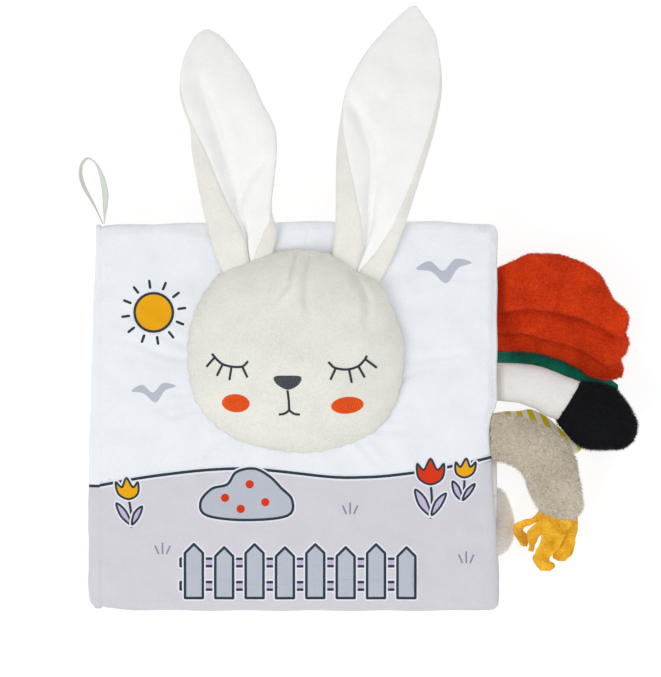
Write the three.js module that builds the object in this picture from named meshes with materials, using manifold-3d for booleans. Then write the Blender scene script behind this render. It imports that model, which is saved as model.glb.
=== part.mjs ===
// Crinkle cloth book with a stuffed rabbit head on its cover and fabric tails along its fore-edge.
// Lengths are in millimetres. The closed book lies on its back cover: +X runs from the spine to the
// fore-edge, +Y towards the ears and +Z up. The origin is the centre of the back cover's underside.

import * as THREE from 'three';
import { mergeVertices } from 'three/addons/utils/BufferGeometryUtils.js';
import Module from 'manifold-3d';

const wasm = await Module();
wasm.setup();

// Air that the pieces keep between them
const clearance = 0.3;
const leafGap = 0.4;
const seamGap = 0.15;
const restCut = 0.5;

// Book: two covers and four leaves, each a cushion of two fabrics round foam and crinkle film
const cover = {
  width: 180, height: 172, thickness: 7, fabric: 0.8, slack: 0.8, contentShare: 0.74, gridCount: 12,
};
const leaf = { inset: 2, thickness: 5, fabric: 0.6, slack: 0.5, contentShare: 0.69, gridCount: 8, count: 4 };
const cushion = { drawIn: 1.5, corner: 2.5, crownPower: 6, cornerPower: 8, edgePower: 4 };
const film = { thickness: 0.3 };
const content = { cornerRadius: 12, cornerSegmentCount: 4 };
const spine = { tape: 1.2, endInset: 2 };

// Head: a stuffed dome sewn on the front cover
const head = {
  x: 0.2, y: 27.8, halfWidth: 49, halfHeight: 46.8, height: 19.5, fabric: 1.2, fillingInset: 2.5,
  outlinePower: 2.2, lowWidthShare: 0.03, domePower: 2.4, domeEdgePower: 0.65, sectorCount: 28, ringCount: 6,
};

// Embroidery on the face, placed from the head's centre
const thread = { radius: 0.5, sideCount: 6 };
const patch = { thickness: 0.8, ringCount: 2 };
const eye = { halfWidth: 8, depth: 5.5 };
const leftEye = { x: -30, y: -3.2 };
const rightEye = { x: 23, y: -3.9 };
const nose = { x: -4.3, y: -13.1, halfWidth: 6, halfHeight: 3.3 };
const mouth = { line: 9, halfWidth: 4.2, drop: 1.8 };
const leftCheek = { x: -27.5, y: -22.6, halfWidth: 6, halfHeight: 4.1, pointCount: 14 };
const rightCheek = { x: 22.5, y: -23.5, halfWidth: 7, halfHeight: 3.6, pointCount: 14 };

// Ears: a plush back and a white lining each, sewn along the head's upper edge
const earLayer = { back: 1.2, lining: 1, liningInset: 1.3, gap: 0.5, columnCount: 6 };
const leftEar = {
  x: -22.7, y: 72, lean: THREE.MathUtils.degToRad(10), slantShare: 0.22, length: 102, halfWidth: 19.5,
  crest: 5, droop: 14, cup: 5, bow: 2,
};
const rightEar = {
  x: 27.8, y: 70.2, lean: THREE.MathUtils.degToRad(-12.2), slantShare: -0.3, length: 116, halfWidth: 21.5,
  crest: 5, droop: 15, cup: 5.5, bow: -1,
};
const earLengthShares = [0, 0.15, 0.33, 0.5, 0.64, 0.77, 0.88, 0.96, 1];
const earWidthShares = [0.62, 0.74, 0.9, 1, 0.99, 0.87, 0.65, 0.37, 0.14];

// Tails: each starts at its leaf's fore-edge, at a share of the cover's half height from its middle.
// Their outlines run out from the edge and drop along it.
const furTail = {
  alongShare: -0.115, reach: 28.4, drop: 34.9, sag: 4, halfWidth: 11.6, halfHeight: 8,
  outShares: [0, 0.27, 0.55, 0.77, 0.92, 1, 1],
  dropShares: [0, 0.01, 0.115, 0.295, 0.525, 0.78, 1],
  sagShares: [0, 0.25, 0.6, 0.85, 1, 1, 1],
  widthShares: [0.85, 0.91, 0.98, 1, 0.97, 0.89, 0.66],
  heightShares: [0.15, 0.62, 0.94, 1, 0.94, 0.75, 0.2],
};
const fringe = {
  length: 26, spread: 21, sag: 9, palmHalfWidth: 7.5, stripHalfWidth: 2.4, halfThickness: 1.4, sideCount: 6,
  palmShares: [[0, 0, 0], [-0.04, 0.16, 0.15], [-0.16, 0.36, 0.4]],
  palmWidthShares: [0.96, 1, 0.8],
  stripShares: [
    [[-0.22, 0.17, 0.1], [-0.6, 0.2, 0.35], [-0.93, 0.34, 0.6], [-0.9, 0.48, 0.85], [-0.74, 0.57, 1]],
    [[-0.22, 0.2, 0.1], [-0.48, 0.3, 0.35], [-0.62, 0.44, 0.6], [-0.66, 0.6, 0.8], [-0.57, 0.68, 1]],
    [[-0.2, 0.22, 0.2], [-0.33, 0.46, 0.4], [-0.46, 0.68, 0.6], [-0.43, 0.88, 0.85], [-0.26, 1, 1]],
    [[-0.08, 0.25, 0.2], [-0.13, 0.5, 0.4], [-0.2, 0.68, 0.65], [-0.22, 0.8, 0.85], [-0.2, 0.93, 1]],
    [[0.18, 0.15, 0.15], [0.2, 0.42, 0.4], [0.16, 0.6, 0.65], [0.06, 0.74, 0.85], [-0.04, 0.8, 1]],
  ],
  stripWidthShares: [0.9, 1, 1, 0.9, 0.5],
};
const whiteTail = {
  alongShare: 0.172, reach: 34, drop: 8.1, sag: 0, halfWidth: 10.1, halfHeight: 7,
  outShares: [0, 0.24, 0.49, 0.72, 0.93, 1],
  dropShares: [0, 0, 0.17, 0.49, 0.89, 1],
  sagShares: [0, 0, 0, 0, 0, 0],
  widthShares: [0.84, 0.82, 0.84, 0.91, 0.98, 1],
  heightShares: [0.17, 0.64, 0.86, 0.93, 1, 1],
};
const blackTip = {
  length: 33.5, halfWidth: 13.9, halfHeight: 10,
  alongShares: [0, 0.2, 0.43, 0.65, 0.84, 0.95, 1],
  widthShares: [0.73, 0.9, 1, 0.93, 0.71, 0.42, 0.16],
  heightShares: [0.7, 0.9, 1, 0.95, 0.75, 0.45, 0.15],
};
const rooster = { rootPitch: 1.2, rootHalfHeight: 0.4, layerGap: 0.5 };
const featherHeightShares = [0, 0.8, 1, 1, 0.9, 0.66, 0.28];
const upperFeather = {
  name: 'rust_feather_1',
  colour: 0xc8431c,
  alongShare: 0.656, reach: 58.3, drop: 16.1, halfWidth: 13.2, halfHeight: 4.5,
  outShares: [0, 0.165, 0.355, 0.56, 0.76, 0.885, 1],
  dropShares: [0, -0.22, -0.22, 0.03, 0.44, 0.8, 1],
  widthShares: [0.81, 0.92, 1, 0.98, 0.88, 0.58, 0.2],
};
const middleFeather = {
  name: 'rust_feather_2',
  colour: 0xc03f1a,
  alongShare: 0.542, reach: 55, drop: 17.5, halfWidth: 12.5, halfHeight: 3.2,
  outShares: [0, 0.175, 0.38, 0.6, 0.8, 0.92, 1],
  dropShares: [0, -0.08, 0.03, 0.31, 0.69, 0.9, 1],
  widthShares: [0.75, 0.86, 0.96, 1, 0.9, 0.57, 0.2],
};
const lowerFeather = {
  name: 'rust_feather_3',
  colour: 0xb83b18,
  alongShare: 0.4326, reach: 53.8, drop: 16.6, halfWidth: 10.8, halfHeight: 2.8,
  outShares: [0, 0.18, 0.39, 0.61, 0.8, 0.915, 1],
  dropShares: [0, -0.05, 0.03, 0.32, 0.68, 0.89, 1],
  widthShares: [0.79, 0.88, 0.96, 1, 0.88, 0.54, 0.2],
};
const greenFeather = {
  name: 'green_feather',
  colour: 0x137a5c,
  alongShare: 0.3337, reach: 56.9, drop: 18.4, halfWidth: 5.8, halfHeight: 2.4,
  outShares: [0, 0.17, 0.37, 0.58, 0.78, 0.9, 1],
  dropShares: [0, 0.02, 0.17, 0.41, 0.68, 0.88, 1],
  widthShares: [0.85, 0.92, 1, 1, 0.85, 0.62, 0.3],
};
const feathers = [upperFeather, middleFeather, lowerFeather, greenFeather];
const stripedTail = {
  alongShare: -0.088, reach: 36.9, drop: 9, sag: 8.8, halfWidth: 8.5, halfHeight: 2.6,
  outShares: [0, 0.22, 0.43, 0.62, 0.78, 0.91, 1],
  dropShares: [0, -0.14, -0.1, 0.2, 0.54, 0.84, 1],
  sagShares: [0, 0.26, 0.49, 0.66, 0.83, 0.94, 1],
  widthShares: [0.84, 0.95, 1, 0.97, 0.84, 0.58, 0.21],
  heightShares: [0.3, 0.85, 1, 1, 0.92, 0.7, 0.3],
};
const puffTail = {
  alongShare: -0.558, reach: 9.8, drop: 0, sag: 0, halfWidth: 15.2, halfHeight: 6.5,
  outShares: [0, 0.22, 0.56, 0.87, 1],
  dropShares: [0, 0, 0, 0, 0],
  sagShares: [0, 0, 0, 0, 0],
  widthShares: [0.78, 0.95, 1, 0.72, 0.3],
  heightShares: [0.15, 0.65, 1, 0.78, 0.3],
};
const tailSideCount = 10;

// Hang loop: a folded ribbon, edge-on where it leaves the seam and half flat where it comes back.
// Its ends are pinched together in the seam.
const loop = {
  x: -87.6, height: 28.5, halfWidth: 10, ribbon: 3, ribbonThickness: 0.8,
  widthShares: [0.3, 0.85, 1, 1, 1, 1, 1, 1, 1, 1, 1, 0.85, 0.3],
  startTwist: THREE.MathUtils.degToRad(90), endTwist: THREE.MathUtils.degToRad(55),
  acrossShares: [0, -0.3, -0.58, -0.82, -0.92, -0.86, -0.6, -0.25, 0.06, 0.22, 0.27, 0.26, 0.23],
  upShares: [0, 0.17, 0.34, 0.54, 0.72, 0.9, 1, 0.94, 0.74, 0.52, 0.34, 0.16, 0],
};

// Closed solid between two sheets of grid points, the upper facing up and the lower facing down
function sheetSolid(columns, rows, upperPoint, lowerPoint) {
  const positions = [];
  const indices = [];
  const stride = rows + 1;
  for (const point of [upperPoint, lowerPoint]) {
    for (let i = 0; i <= columns; i += 1) {
      for (let j = 0; j <= rows; j += 1) {
        positions.push(...point(i, j).toArray());
      }
    }
  }
  const lower = (columns + 1) * stride;
  const quad = (a, b, c, d) => indices.push(a, b, c, a, c, d);
  for (let i = 0; i < columns; i += 1) {
    for (let j = 0; j < rows; j += 1) {
      const a = i * stride + j;
      const b = a + stride;
      quad(a, b, b + 1, a + 1);
      quad(lower + a, lower + a + 1, lower + b + 1, lower + b);
    }
  }
  for (let i = 0; i < columns; i += 1) {
    const near = i * stride;
    const far = near + rows;
    quad(near, lower + near, lower + near + stride, near + stride);
    quad(far + stride, lower + far + stride, lower + far, far);
  }
  for (let j = 0; j < rows; j += 1) {
    const right = columns * stride + j;
    quad(j + 1, lower + j + 1, lower + j, j);
    quad(right, lower + right, lower + right + 1, right + 1);
  }
  return indexed(positions, indices);
}

// Closed solid between two dished sheets round a centre
function polarSolid(sectors, rings, upperPoint, lowerPoint) {
  const positions = [];
  const indices = [];
  for (const point of [upperPoint, lowerPoint]) {
    positions.push(...point(0, 0).toArray());
    for (let ring = 1; ring <= rings; ring += 1) {
      for (let sector = 0; sector < sectors; sector += 1) {
        positions.push(...point(ring, sector).toArray());
      }
    }
  }
  const lower = 1 + rings * sectors;
  const at = (ring, sector) => 1 + (ring - 1) * sectors + (sector % sectors);
  for (let sector = 0; sector < sectors; sector += 1) {
    const next = sector + 1;
    indices.push(0, at(1, sector), at(1, next));
    indices.push(lower, lower + at(1, next), lower + at(1, sector));
    for (let ring = 1; ring < rings; ring += 1) {
      const [a, b, c, d] = [at(ring, sector), at(ring + 1, sector), at(ring + 1, next), at(ring, next)];
      indices.push(a, b, c, a, c, d);
      indices.push(lower + a, lower + c, lower + b, lower + a, lower + d, lower + c);
    }
    const [rim, rimNext] = [at(rings, sector), at(rings, next)];
    indices.push(rim, lower + rim, lower + rimNext, rim, lower + rimNext, rimNext);
  }
  return indexed(positions, indices);
}

// Closed solid along a row of stations, each with a centre, two half sizes and a twist about its path
function loftSolid(stations, section) {
  const positions = [];
  const indices = [];
  const sides = section.length;
  stations.forEach((station, index) => {
    const before = stations[Math.max(index - 1, 0)].centre;
    const after = stations[Math.min(index + 1, stations.length - 1)].centre;
    const along = station.along ?? after.clone().sub(before).normalize();
    const across = new THREE.Vector3(along.y, -along.x, 0).normalize();
    const up = across.clone().cross(along);
    across.applyAxisAngle(along, station.twist ?? 0);
    up.applyAxisAngle(along, station.twist ?? 0);
    for (const [acrossShare, upShare] of section) {
      const point = station.centre.clone();
      point.addScaledVector(across, acrossShare * station.halfWidth);
      point.addScaledVector(up, upShare * station.halfHeight);
      positions.push(...point.toArray());
    }
  });
  const last = (stations.length - 1) * sides;
  for (let side = 0; side < sides; side += 1) {
    const next = (side + 1) % sides;
    for (let ring = 0; ring < last; ring += sides) {
      const [a, b, c, d] = [ring + side, ring + next, ring + sides + next, ring + sides + side];
      indices.push(a, c, b, a, d, c);
    }
  }
  const startCentre = positions.length / 3;
  positions.push(...stations[0].centre.toArray(), ...stations[stations.length - 1].centre.toArray());
  for (let side = 0; side < sides; side += 1) {
    const next = (side + 1) % sides;
    indices.push(startCentre, side, next);
    indices.push(startCentre + 1, last + next, last + side);
  }
  return indexed(positions, indices);
}

function indexed(positions, indices) {
  const geometry = new THREE.BufferGeometry();
  geometry.setAttribute('position', new THREE.Float32BufferAttribute(positions, 3));
  geometry.setIndex(indices);
  return geometry;
}

// Joins overlapping closed meshes into one
function joined(geometries) {
  const solids = geometries.map((geometry) => {
    const merged = mergeVertices(geometry);
    const numProp = 3;
    const vertProperties = new Float32Array(merged.attributes.position.array);
    const triVerts = new Uint32Array(merged.index.array);
    return new wasm.Manifold(new wasm.Mesh({ numProp, vertProperties, triVerts }));
  });
  const mesh = solids.reduce((whole, solid) => whole.add(solid)).getMesh();
  return indexed(Array.from(mesh.vertProperties), Array.from(mesh.triVerts));
}

function ellipseSection(sides) {
  return Array.from({ length: sides }, (_, side) => {
    const angle = (2 * Math.PI * side) / sides;
    return [Math.cos(angle), Math.sin(angle)];
  });
}

const ribbonSection = [[1, -1], [1, 1], [-1, 1], [-1, -1]];

// Steps from -1 to 1 that crowd towards both ends, where a cushion curves most
function crowded(index, count) {
  return Math.sin((Math.PI / 2) * (-1 + (2 * index) / count));
}

const book = new THREE.Group();

function addPiece(name, geometry, colour, roughness = 0.95) {
  const material = new THREE.MeshStandardMaterial({ color: colour, roughness, metalness: 0 });
  const mesh = new THREE.Mesh(geometry, material);
  mesh.name = name;
  book.add(mesh);
  return mesh;
}

// The stack from the table up: seam heights follow from the thicknesses
const spineX = -cover.width / 2;
const sheetLeft = spineX + spine.tape + clearance;

function sheetSpec(kind, bottom, inset) {
  const right = cover.width / 2 - inset;
  return {
    ...kind,
    bottom,
    top: bottom + kind.thickness,
    seam: bottom + kind.thickness / 2,
    centreX: (sheetLeft + right) / 2,
    halfX: (right - sheetLeft) / 2,
    halfY: cover.height / 2 - inset,
  };
}

const backCover = sheetSpec(cover, 0, 0);
const leaves = [];
for (let index = 0; index < leaf.count; index += 1) {
  const below = index === 0 ? backCover : leaves[index - 1];
  leaves.push(sheetSpec(leaf, below.top + leafGap, leaf.inset));
}
const frontCover = sheetSpec(cover, leaves[leaf.count - 1].top + leafGap, 0);
const [leaf4, leaf3, leaf2, leaf1] = leaves;

function crownAt(u, v) {
  return Math.sqrt((1 - u ** cushion.crownPower) * (1 - v ** cushion.crownPower));
}

function cushionPoint(sheet, u, v, height) {
  const round = cushion.corner * (Math.max(u, 0) * v) ** cushion.cornerPower;
  const edgeIn = cushion.drawIn * Math.max(u, 0) ** cushion.edgePower * (1 - v * v);
  const sideIn = cushion.drawIn * v ** cushion.edgePower * (1 - u * u);
  const x = sheet.centreX + sheet.halfX * u - round - edgeIn;
  const y = sheet.halfY * v - Math.sign(v) * (round + sideIn);
  return new THREE.Vector3(x, y, sheet.seam + height);
}

function foreEdgeAt(sheet, y) {
  return cushionPoint(sheet, 1, y / sheet.halfY, 0).x;
}

// One fabric of a cushion: side is 1 for the upper and -1 for the lower, cut flat where it rests
function panel(sheet, side, flatCut = 0) {
  const rise = sheet.thickness / 2 - sheet.fabric - seamGap + flatCut;
  const outer = (u, v) => Math.min(seamGap + rise * crownAt(u, v) + sheet.fabric, sheet.thickness / 2);
  const inner = (u, v) => outer(u, v) - sheet.fabric;
  const surface = (height) => (i, j) => {
    const u = crowded(i, sheet.gridCount);
    const v = crowded(j, sheet.gridCount);
    return cushionPoint(sheet, u, v, side * height(u, v));
  };
  const [upper, lower] = side > 0 ? [outer, inner] : [inner, outer];
  return sheetSolid(sheet.gridCount, sheet.gridCount, surface(upper), surface(lower));
}

function roundedSlab(halfX, halfY, radius, depth) {
  const shape = new THREE.Shape();
  shape.absarc(halfX - radius, halfY - radius, radius, 0, Math.PI / 2);
  shape.absarc(radius - halfX, halfY - radius, radius, Math.PI / 2, Math.PI);
  shape.absarc(radius - halfX, radius - halfY, radius, Math.PI, 1.5 * Math.PI);
  shape.absarc(halfX - radius, radius - halfY, radius, 1.5 * Math.PI, 2 * Math.PI);
  const options = { depth, bevelEnabled: false, curveSegments: content.cornerSegmentCount };
  return new THREE.ExtrudeGeometry(shape, options);
}

// Foam below, crinkle film on it, both free inside the two fabrics
function addContent(name, sheet) {
  const half = sheet.thickness / 2 - sheet.fabric - sheet.slack;
  const foamTop = half - film.thickness - clearance;
  const halfX = sheet.halfX * sheet.contentShare;
  const halfY = sheet.halfY * sheet.contentShare;
  const foamSlab = roundedSlab(halfX, halfY, content.cornerRadius, half + foamTop);
  const foam = addPiece(`${name}_foam`, foamSlab, 0xf4f1e6);
  foam.position.set(sheet.centreX, 0, sheet.seam - half);
  const filmSlab = roundedSlab(halfX, halfY, content.cornerRadius, film.thickness);
  const sheetOfFilm = addPiece(`${name}_crinkle_film`, filmSlab, 0xdde6ee, 0.3);
  sheetOfFilm.position.set(sheet.centreX, 0, sheet.seam + foamTop + clearance);
}

function addSpineTape(name, sheet, colour) {
  const length = cover.height - 2 * spine.endInset;
  const height = sheet.thickness - clearance;
  const tape = addPiece(`${name}_spine_tape`, new THREE.BoxGeometry(spine.tape, length, height), colour);
  tape.position.set(spineX + spine.tape / 2, 0, sheet.bottom + clearance + height / 2);
}

const skyColour = 0xe8eef4;
addPiece('back_cover_outer_panel', panel(backCover, -1, restCut), skyColour);
addPiece('back_cover_lining_panel', panel(backCover, 1), 0xf2e6c8);
addContent('back_cover', backCover);
addSpineTape('back_cover', backCover, skyColour);
const pageColours = [0xd7e8dc, 0xf3e3d3, 0xdbe3f0, 0xf0dfe4];
leaves.forEach((sheet, index) => {
  const name = `leaf_${leaf.count - index}`;
  addPiece(`${name}_back_panel`, panel(sheet, -1), pageColours[index % pageColours.length]);
  addPiece(`${name}_front_panel`, panel(sheet, 1), pageColours[(index + 1) % pageColours.length]);
  addContent(name, sheet);
  addSpineTape(name, sheet, skyColour);
});
addPiece('front_cover_lining_panel', panel(frontCover, -1), 0xf2e6c8);
addPiece('front_cover_outer_panel', panel(frontCover, 1), skyColour);
addContent('front_cover', frontCover);
addSpineTape('front_cover', frontCover, skyColour);

// Head: the face panel is a dish open towards the cover, and the filling sits under it
const faceBase = frontCover.top + clearance;

function headRadius(angle) {
  const cosine = Math.abs(Math.cos(angle));
  const sine = Math.abs(Math.sin(angle));
  const n = head.outlinePower;
  const plain = ((cosine / head.halfWidth) ** n + (sine / head.halfHeight) ** n) ** (-1 / n);
  return plain * (1 - head.lowWidthShare * Math.sin(angle) * cosine);
}

function domeShare(rho) {
  return Math.max(1 - rho ** head.domePower, 0) ** head.domeEdgePower;
}

function domeHeight(x, y) {
  const rho = Math.hypot(x, y) / headRadius(Math.atan2(y, x));
  return head.fabric + (head.height - head.fabric) * domeShare(rho);
}

function domePoint(ring, sector, inset, low, height) {
  const rho = Math.sin((Math.PI / 2) * (ring / head.ringCount));
  const angle = (2 * Math.PI * sector) / head.sectorCount;
  const radius = (headRadius(angle) - inset) * rho;
  const z = faceBase + low + height * domeShare(rho);
  return new THREE.Vector3(head.x + radius * Math.cos(angle), head.y + radius * Math.sin(angle), z);
}

const domeRise = head.height - head.fabric;
const faceGeometry = polarSolid(
  head.sectorCount,
  head.ringCount,
  (ring, sector) => domePoint(ring, sector, 0, head.fabric, domeRise),
  (ring, sector) => domePoint(ring, sector, head.fabric, 0, domeRise),
);
addPiece('head_face_panel', faceGeometry, 0xe4e0d6);
const fillingInset = head.fabric + head.fillingInset;
const fillingRise = domeRise - 3 * clearance;
const fillingGeometry = polarSolid(
  head.sectorCount,
  head.ringCount,
  (ring, sector) => domePoint(ring, sector, fillingInset, 2 * clearance, fillingRise),
  (ring, sector) => domePoint(ring, sector, fillingInset, clearance, 0),
);
addPiece('head_stuffing', fillingGeometry, 0xf6f5f0);

// Embroidery lies on the dome. Its places are shares of each feature's own size.
function faceStation(x, y, radius) {
  const z = faceBase + domeHeight(x, y) + clearance + radius;
  const centre = new THREE.Vector3(head.x + x, head.y + y, z);
  return { centre, halfWidth: radius, halfHeight: radius };
}

function threadAlong(points) {
  const stations = points.map(([x, y]) => faceStation(x, y, thread.radius));
  return loftSolid(stations, ellipseSection(thread.sideCount));
}

const lidShares = [
  [-1, 0.45], [-0.68, -0.1], [-0.42, -0.42], [-0.12, -0.55], [0.2, -0.56], [0.58, -0.5], [0.85, -0.15],
];
const lashShares = [
  [[-0.86, 0.2], [-1.32, -0.55]],
  [[-0.48, -0.33], [-0.72, -1.3]],
  [[-0.03, -0.5], [-0.06, -1.6]],
  [[0.64, -0.4], [0.88, -1.42]],
];

function addEye(name, place, mirror) {
  const toFace = ([across, up]) => [place.x + mirror * across * eye.halfWidth, place.y + up * eye.depth];
  const lid = threadAlong(lidShares.map(toFace));
  const lashes = lashShares.map((lash) => threadAlong(lash.map(toFace)));
  addPiece(name, joined([lid, ...lashes]), 0x2f3a3a, 0.6);
}

addEye('left_eye_stitching', leftEye, 1);
addEye('right_eye_stitching', rightEye, -1);

function addPatch(name, place, outlineShares, colour) {
  const surface = (lift) => (ring, sector) => {
    const [across, up] = outlineShares[sector % outlineShares.length];
    const x = place.x + (across * place.halfWidth * ring) / patch.ringCount;
    const y = place.y + (up * place.halfHeight * ring) / patch.ringCount;
    const z = faceBase + domeHeight(x, y) + clearance + lift;
    return new THREE.Vector3(head.x + x, head.y + y, z);
  };
  const geometry = polarSolid(outlineShares.length, patch.ringCount, surface(patch.thickness), surface(0));
  addPiece(name, geometry, colour, 0.6);
}

const noseShares = [
  [1, 0.3], [0.92, 0.75], [0.6, 1], [0, 0.92], [-0.6, 1], [-0.92, 0.75], [-1, 0.3],
  [-0.72, -0.35], [-0.3, -0.85], [0, -1], [0.3, -0.85], [0.72, -0.35],
];
addPatch('nose_stitching', nose, noseShares, 0x4a5052);
addPatch('left_cheek', leftCheek, ellipseSection(leftCheek.pointCount), 0xe8501c);
addPatch('right_cheek', rightCheek, ellipseSection(rightCheek.pointCount), 0xe8501c);

const mouthTop = nose.y - nose.halfHeight - clearance - thread.radius;
const mouthFoot = mouthTop - mouth.line;
const philtrum = threadAlong([[nose.x, mouthTop], [nose.x, (mouthTop + mouthFoot) / 2], [nose.x, mouthFoot]]);
const smiles = [-1, 1].map((side) => threadAlong([
  [nose.x, mouthFoot],
  [nose.x + (side * mouth.halfWidth) / 2, mouthFoot - (2 * mouth.drop) / 3],
  [nose.x + side * mouth.halfWidth, mouthFoot - mouth.drop],
]));
addPiece('mouth_stitching', joined([philtrum, ...smiles]), 0x2f3a3a, 0.6);

// Ears lie over the cover's top edge, cupped along their length and sagging towards the tip
function addEar(side, ear) {
  const rows = earLengthShares.length - 1;
  const earBase = frontCover.top + clearance;
  const surface = (inset, low) => (i, j) => {
    const halfWidth = ear.halfWidth * earWidthShares[j];
    const s = (inset + (ear.length - 2 * inset) * earLengthShares[j]) / ear.length;
    const arch = Math.sin(Math.PI * s);
    const across = (-1 + (2 * i) / earLayer.columnCount) * (halfWidth - inset);
    const y = ear.length * s + ear.slantShare * across * (1 - s);
    const cup = ear.cup * (across / halfWidth) ** 2;
    const z = low + (ear.crest + cup) * arch - ear.droop * s * s;
    return new THREE.Vector3(across + ear.bow * arch, y, z);
  };
  const liningLow = earLayer.back + earLayer.gap;
  const layers = [
    [`${side}_ear_back`, 0, 0, earLayer.back, 0xdcd8ce],
    [`${side}_ear_lining`, earLayer.liningInset, liningLow, earLayer.lining, 0xf6f6f4],
  ];
  for (const [name, inset, low, thickness, colour] of layers) {
    const [upper, lower] = [surface(inset, low + thickness), surface(inset, low)];
    const geometry = sheetSolid(earLayer.columnCount, rows, upper, lower);
    const mesh = addPiece(name, geometry, colour);
    mesh.position.set(ear.x, ear.y, earBase);
    mesh.rotation.z = ear.lean;
  }
}

addEar('left', leftEar);
addEar('right', rightEar);

// Tails start clear of their leaf's fore-edge, with a root that lies square to it
const outward = new THREE.Vector3(1, 0, 0);

function rootAlong(index) {
  return index === 0 ? outward : undefined;
}

function tailStations(tail, sheet) {
  const rootY = tail.alongShare * frontCover.halfY;
  const rootX = foreEdgeAt(sheet, rootY) + clearance;
  return tail.outShares.map((outShare, index) => ({
    centre: new THREE.Vector3(
      rootX + tail.reach * outShare,
      rootY - tail.drop * tail.dropShares[index],
      sheet.seam - tail.sag * tail.sagShares[index],
    ),
    halfWidth: tail.halfWidth * tail.widthShares[index],
    halfHeight: tail.halfHeight * tail.heightShares[index],
    along: rootAlong(index),
  }));
}

const plushSection = ellipseSection(tailSideCount);
const furStations = tailStations(furTail, frontCover);
addPiece('fur_tail', loftSolid(furStations, plushSection), 0xb5aa9a);

// Fringe: a fleece piece cut into strips, sewn into the fur tail's end
const furEnd = furStations[furStations.length - 1].centre;
const fringeStation = ([acrossShare, downShare, sagShare], halfWidth) => ({
  centre: new THREE.Vector3(
    furEnd.x + fringe.spread * acrossShare,
    furEnd.y - clearance - fringe.length * downShare,
    furEnd.z - fringe.sag * sagShare,
  ),
  halfWidth,
  halfHeight: fringe.halfThickness,
});
const palm = fringe.palmShares.map((place, index) => (
  fringeStation(place, fringe.palmHalfWidth * fringe.palmWidthShares[index])
));
palm[0].along = furEnd.clone().sub(furStations[furStations.length - 2].centre).normalize();
const strips = fringe.stripShares.map((strip) => strip.map((place, index) => (
  fringeStation(place, fringe.stripHalfWidth * fringe.stripWidthShares[index])
)));
const fringeSection = ellipseSection(fringe.sideCount);
const fringeGeometry = joined([palm, ...strips].map((stations) => loftSolid(stations, fringeSection)));
addPiece('fur_tail_fringe', fringeGeometry, 0xe3a21f);

const whiteStations = tailStations(whiteTail, leaf1);
addPiece('white_tail', loftSolid(whiteStations, plushSection), 0xecebe6);

// Black tip: carries on from the white tail's end in the same direction
const whiteEnd = whiteStations[whiteStations.length - 1].centre;
const tipDirection = whiteEnd.clone().sub(whiteStations[whiteStations.length - 2].centre).normalize();
const tipStations = blackTip.alongShares.map((share, index) => ({
  centre: whiteEnd.clone().addScaledVector(tipDirection, clearance + blackTip.length * share),
  halfWidth: blackTip.halfWidth * blackTip.widthShares[index],
  halfHeight: blackTip.halfHeight * blackTip.heightShares[index],
}));
addPiece('black_tail_tip', loftSolid(tipStations, plushSection), 0x1b1b1f);

// Rooster tail: feathers pile up from the lowest, and their roots close into one thin seam
let layerTop = frontCover.seam;
feathers.forEach((feather, layer) => {
  const rootY = feather.alongShare * frontCover.halfY;
  const rootX = foreEdgeAt(leaf2, rootY) + clearance;
  const spread = layerTop - feather.halfHeight;
  const rootZ = leaf2.seam + rooster.rootPitch * ((feathers.length - 1) / 2 - layer);
  const stations = feather.outShares.map((outShare, index) => {
    const share = featherHeightShares[index];
    const settled = Math.min(index, 1);
    return {
      centre: new THREE.Vector3(
        rootX + feather.reach * outShare,
        rootY - feather.drop * feather.dropShares[index],
        rootZ + (spread - rootZ) * settled,
      ),
      halfWidth: feather.halfWidth * feather.widthShares[index],
      halfHeight: rooster.rootHalfHeight + (feather.halfHeight - rooster.rootHalfHeight) * share,
      along: rootAlong(index),
    };
  });
  addPiece(feather.name, loftSolid(stations, plushSection), feather.colour);
  layerTop -= 2 * feather.halfHeight + rooster.layerGap;
});

addPiece('striped_tail', loftSolid(tailStations(stripedTail, leaf3), plushSection), 0xe9dc6a);
addPiece('puff_tail', loftSolid(tailStations(puffTail, leaf4), plushSection), 0xe8e4dc);

// Hang loop: both ends meet the front cover's seam at the spine corner, with room to swing
const loopFoot = frontCover.halfY + 2 * clearance;
const loopStations = loop.upShares.map((upShare, index) => ({
  centre: new THREE.Vector3(
    loop.x + loop.halfWidth * loop.acrossShares[index],
    loopFoot + loop.height * upShare,
    frontCover.seam,
  ),
  halfWidth: (loop.ribbon * loop.widthShares[index]) / 2,
  halfHeight: loop.ribbonThickness / 2,
  twist: THREE.MathUtils.lerp(loop.startTwist, loop.endTwist, index / (loop.upShares.length - 1)),
}));
addPiece('hang_loop', loftSolid(loopStations, ribbonSection), 0xdfe3da);

export default book;
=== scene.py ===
# Looks of a crinkle cloth book: padded covers and leaves, a stuffed rabbit head with long ears,
# and fabric tails along the fore-edge. Sizes are in millimetres until a mesh is made, in metres.

import math

import bmesh
import bpy
import numpy as np
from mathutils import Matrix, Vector, kdtree, noise
from mathutils.geometry import delaunay_2d_cdt


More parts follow.
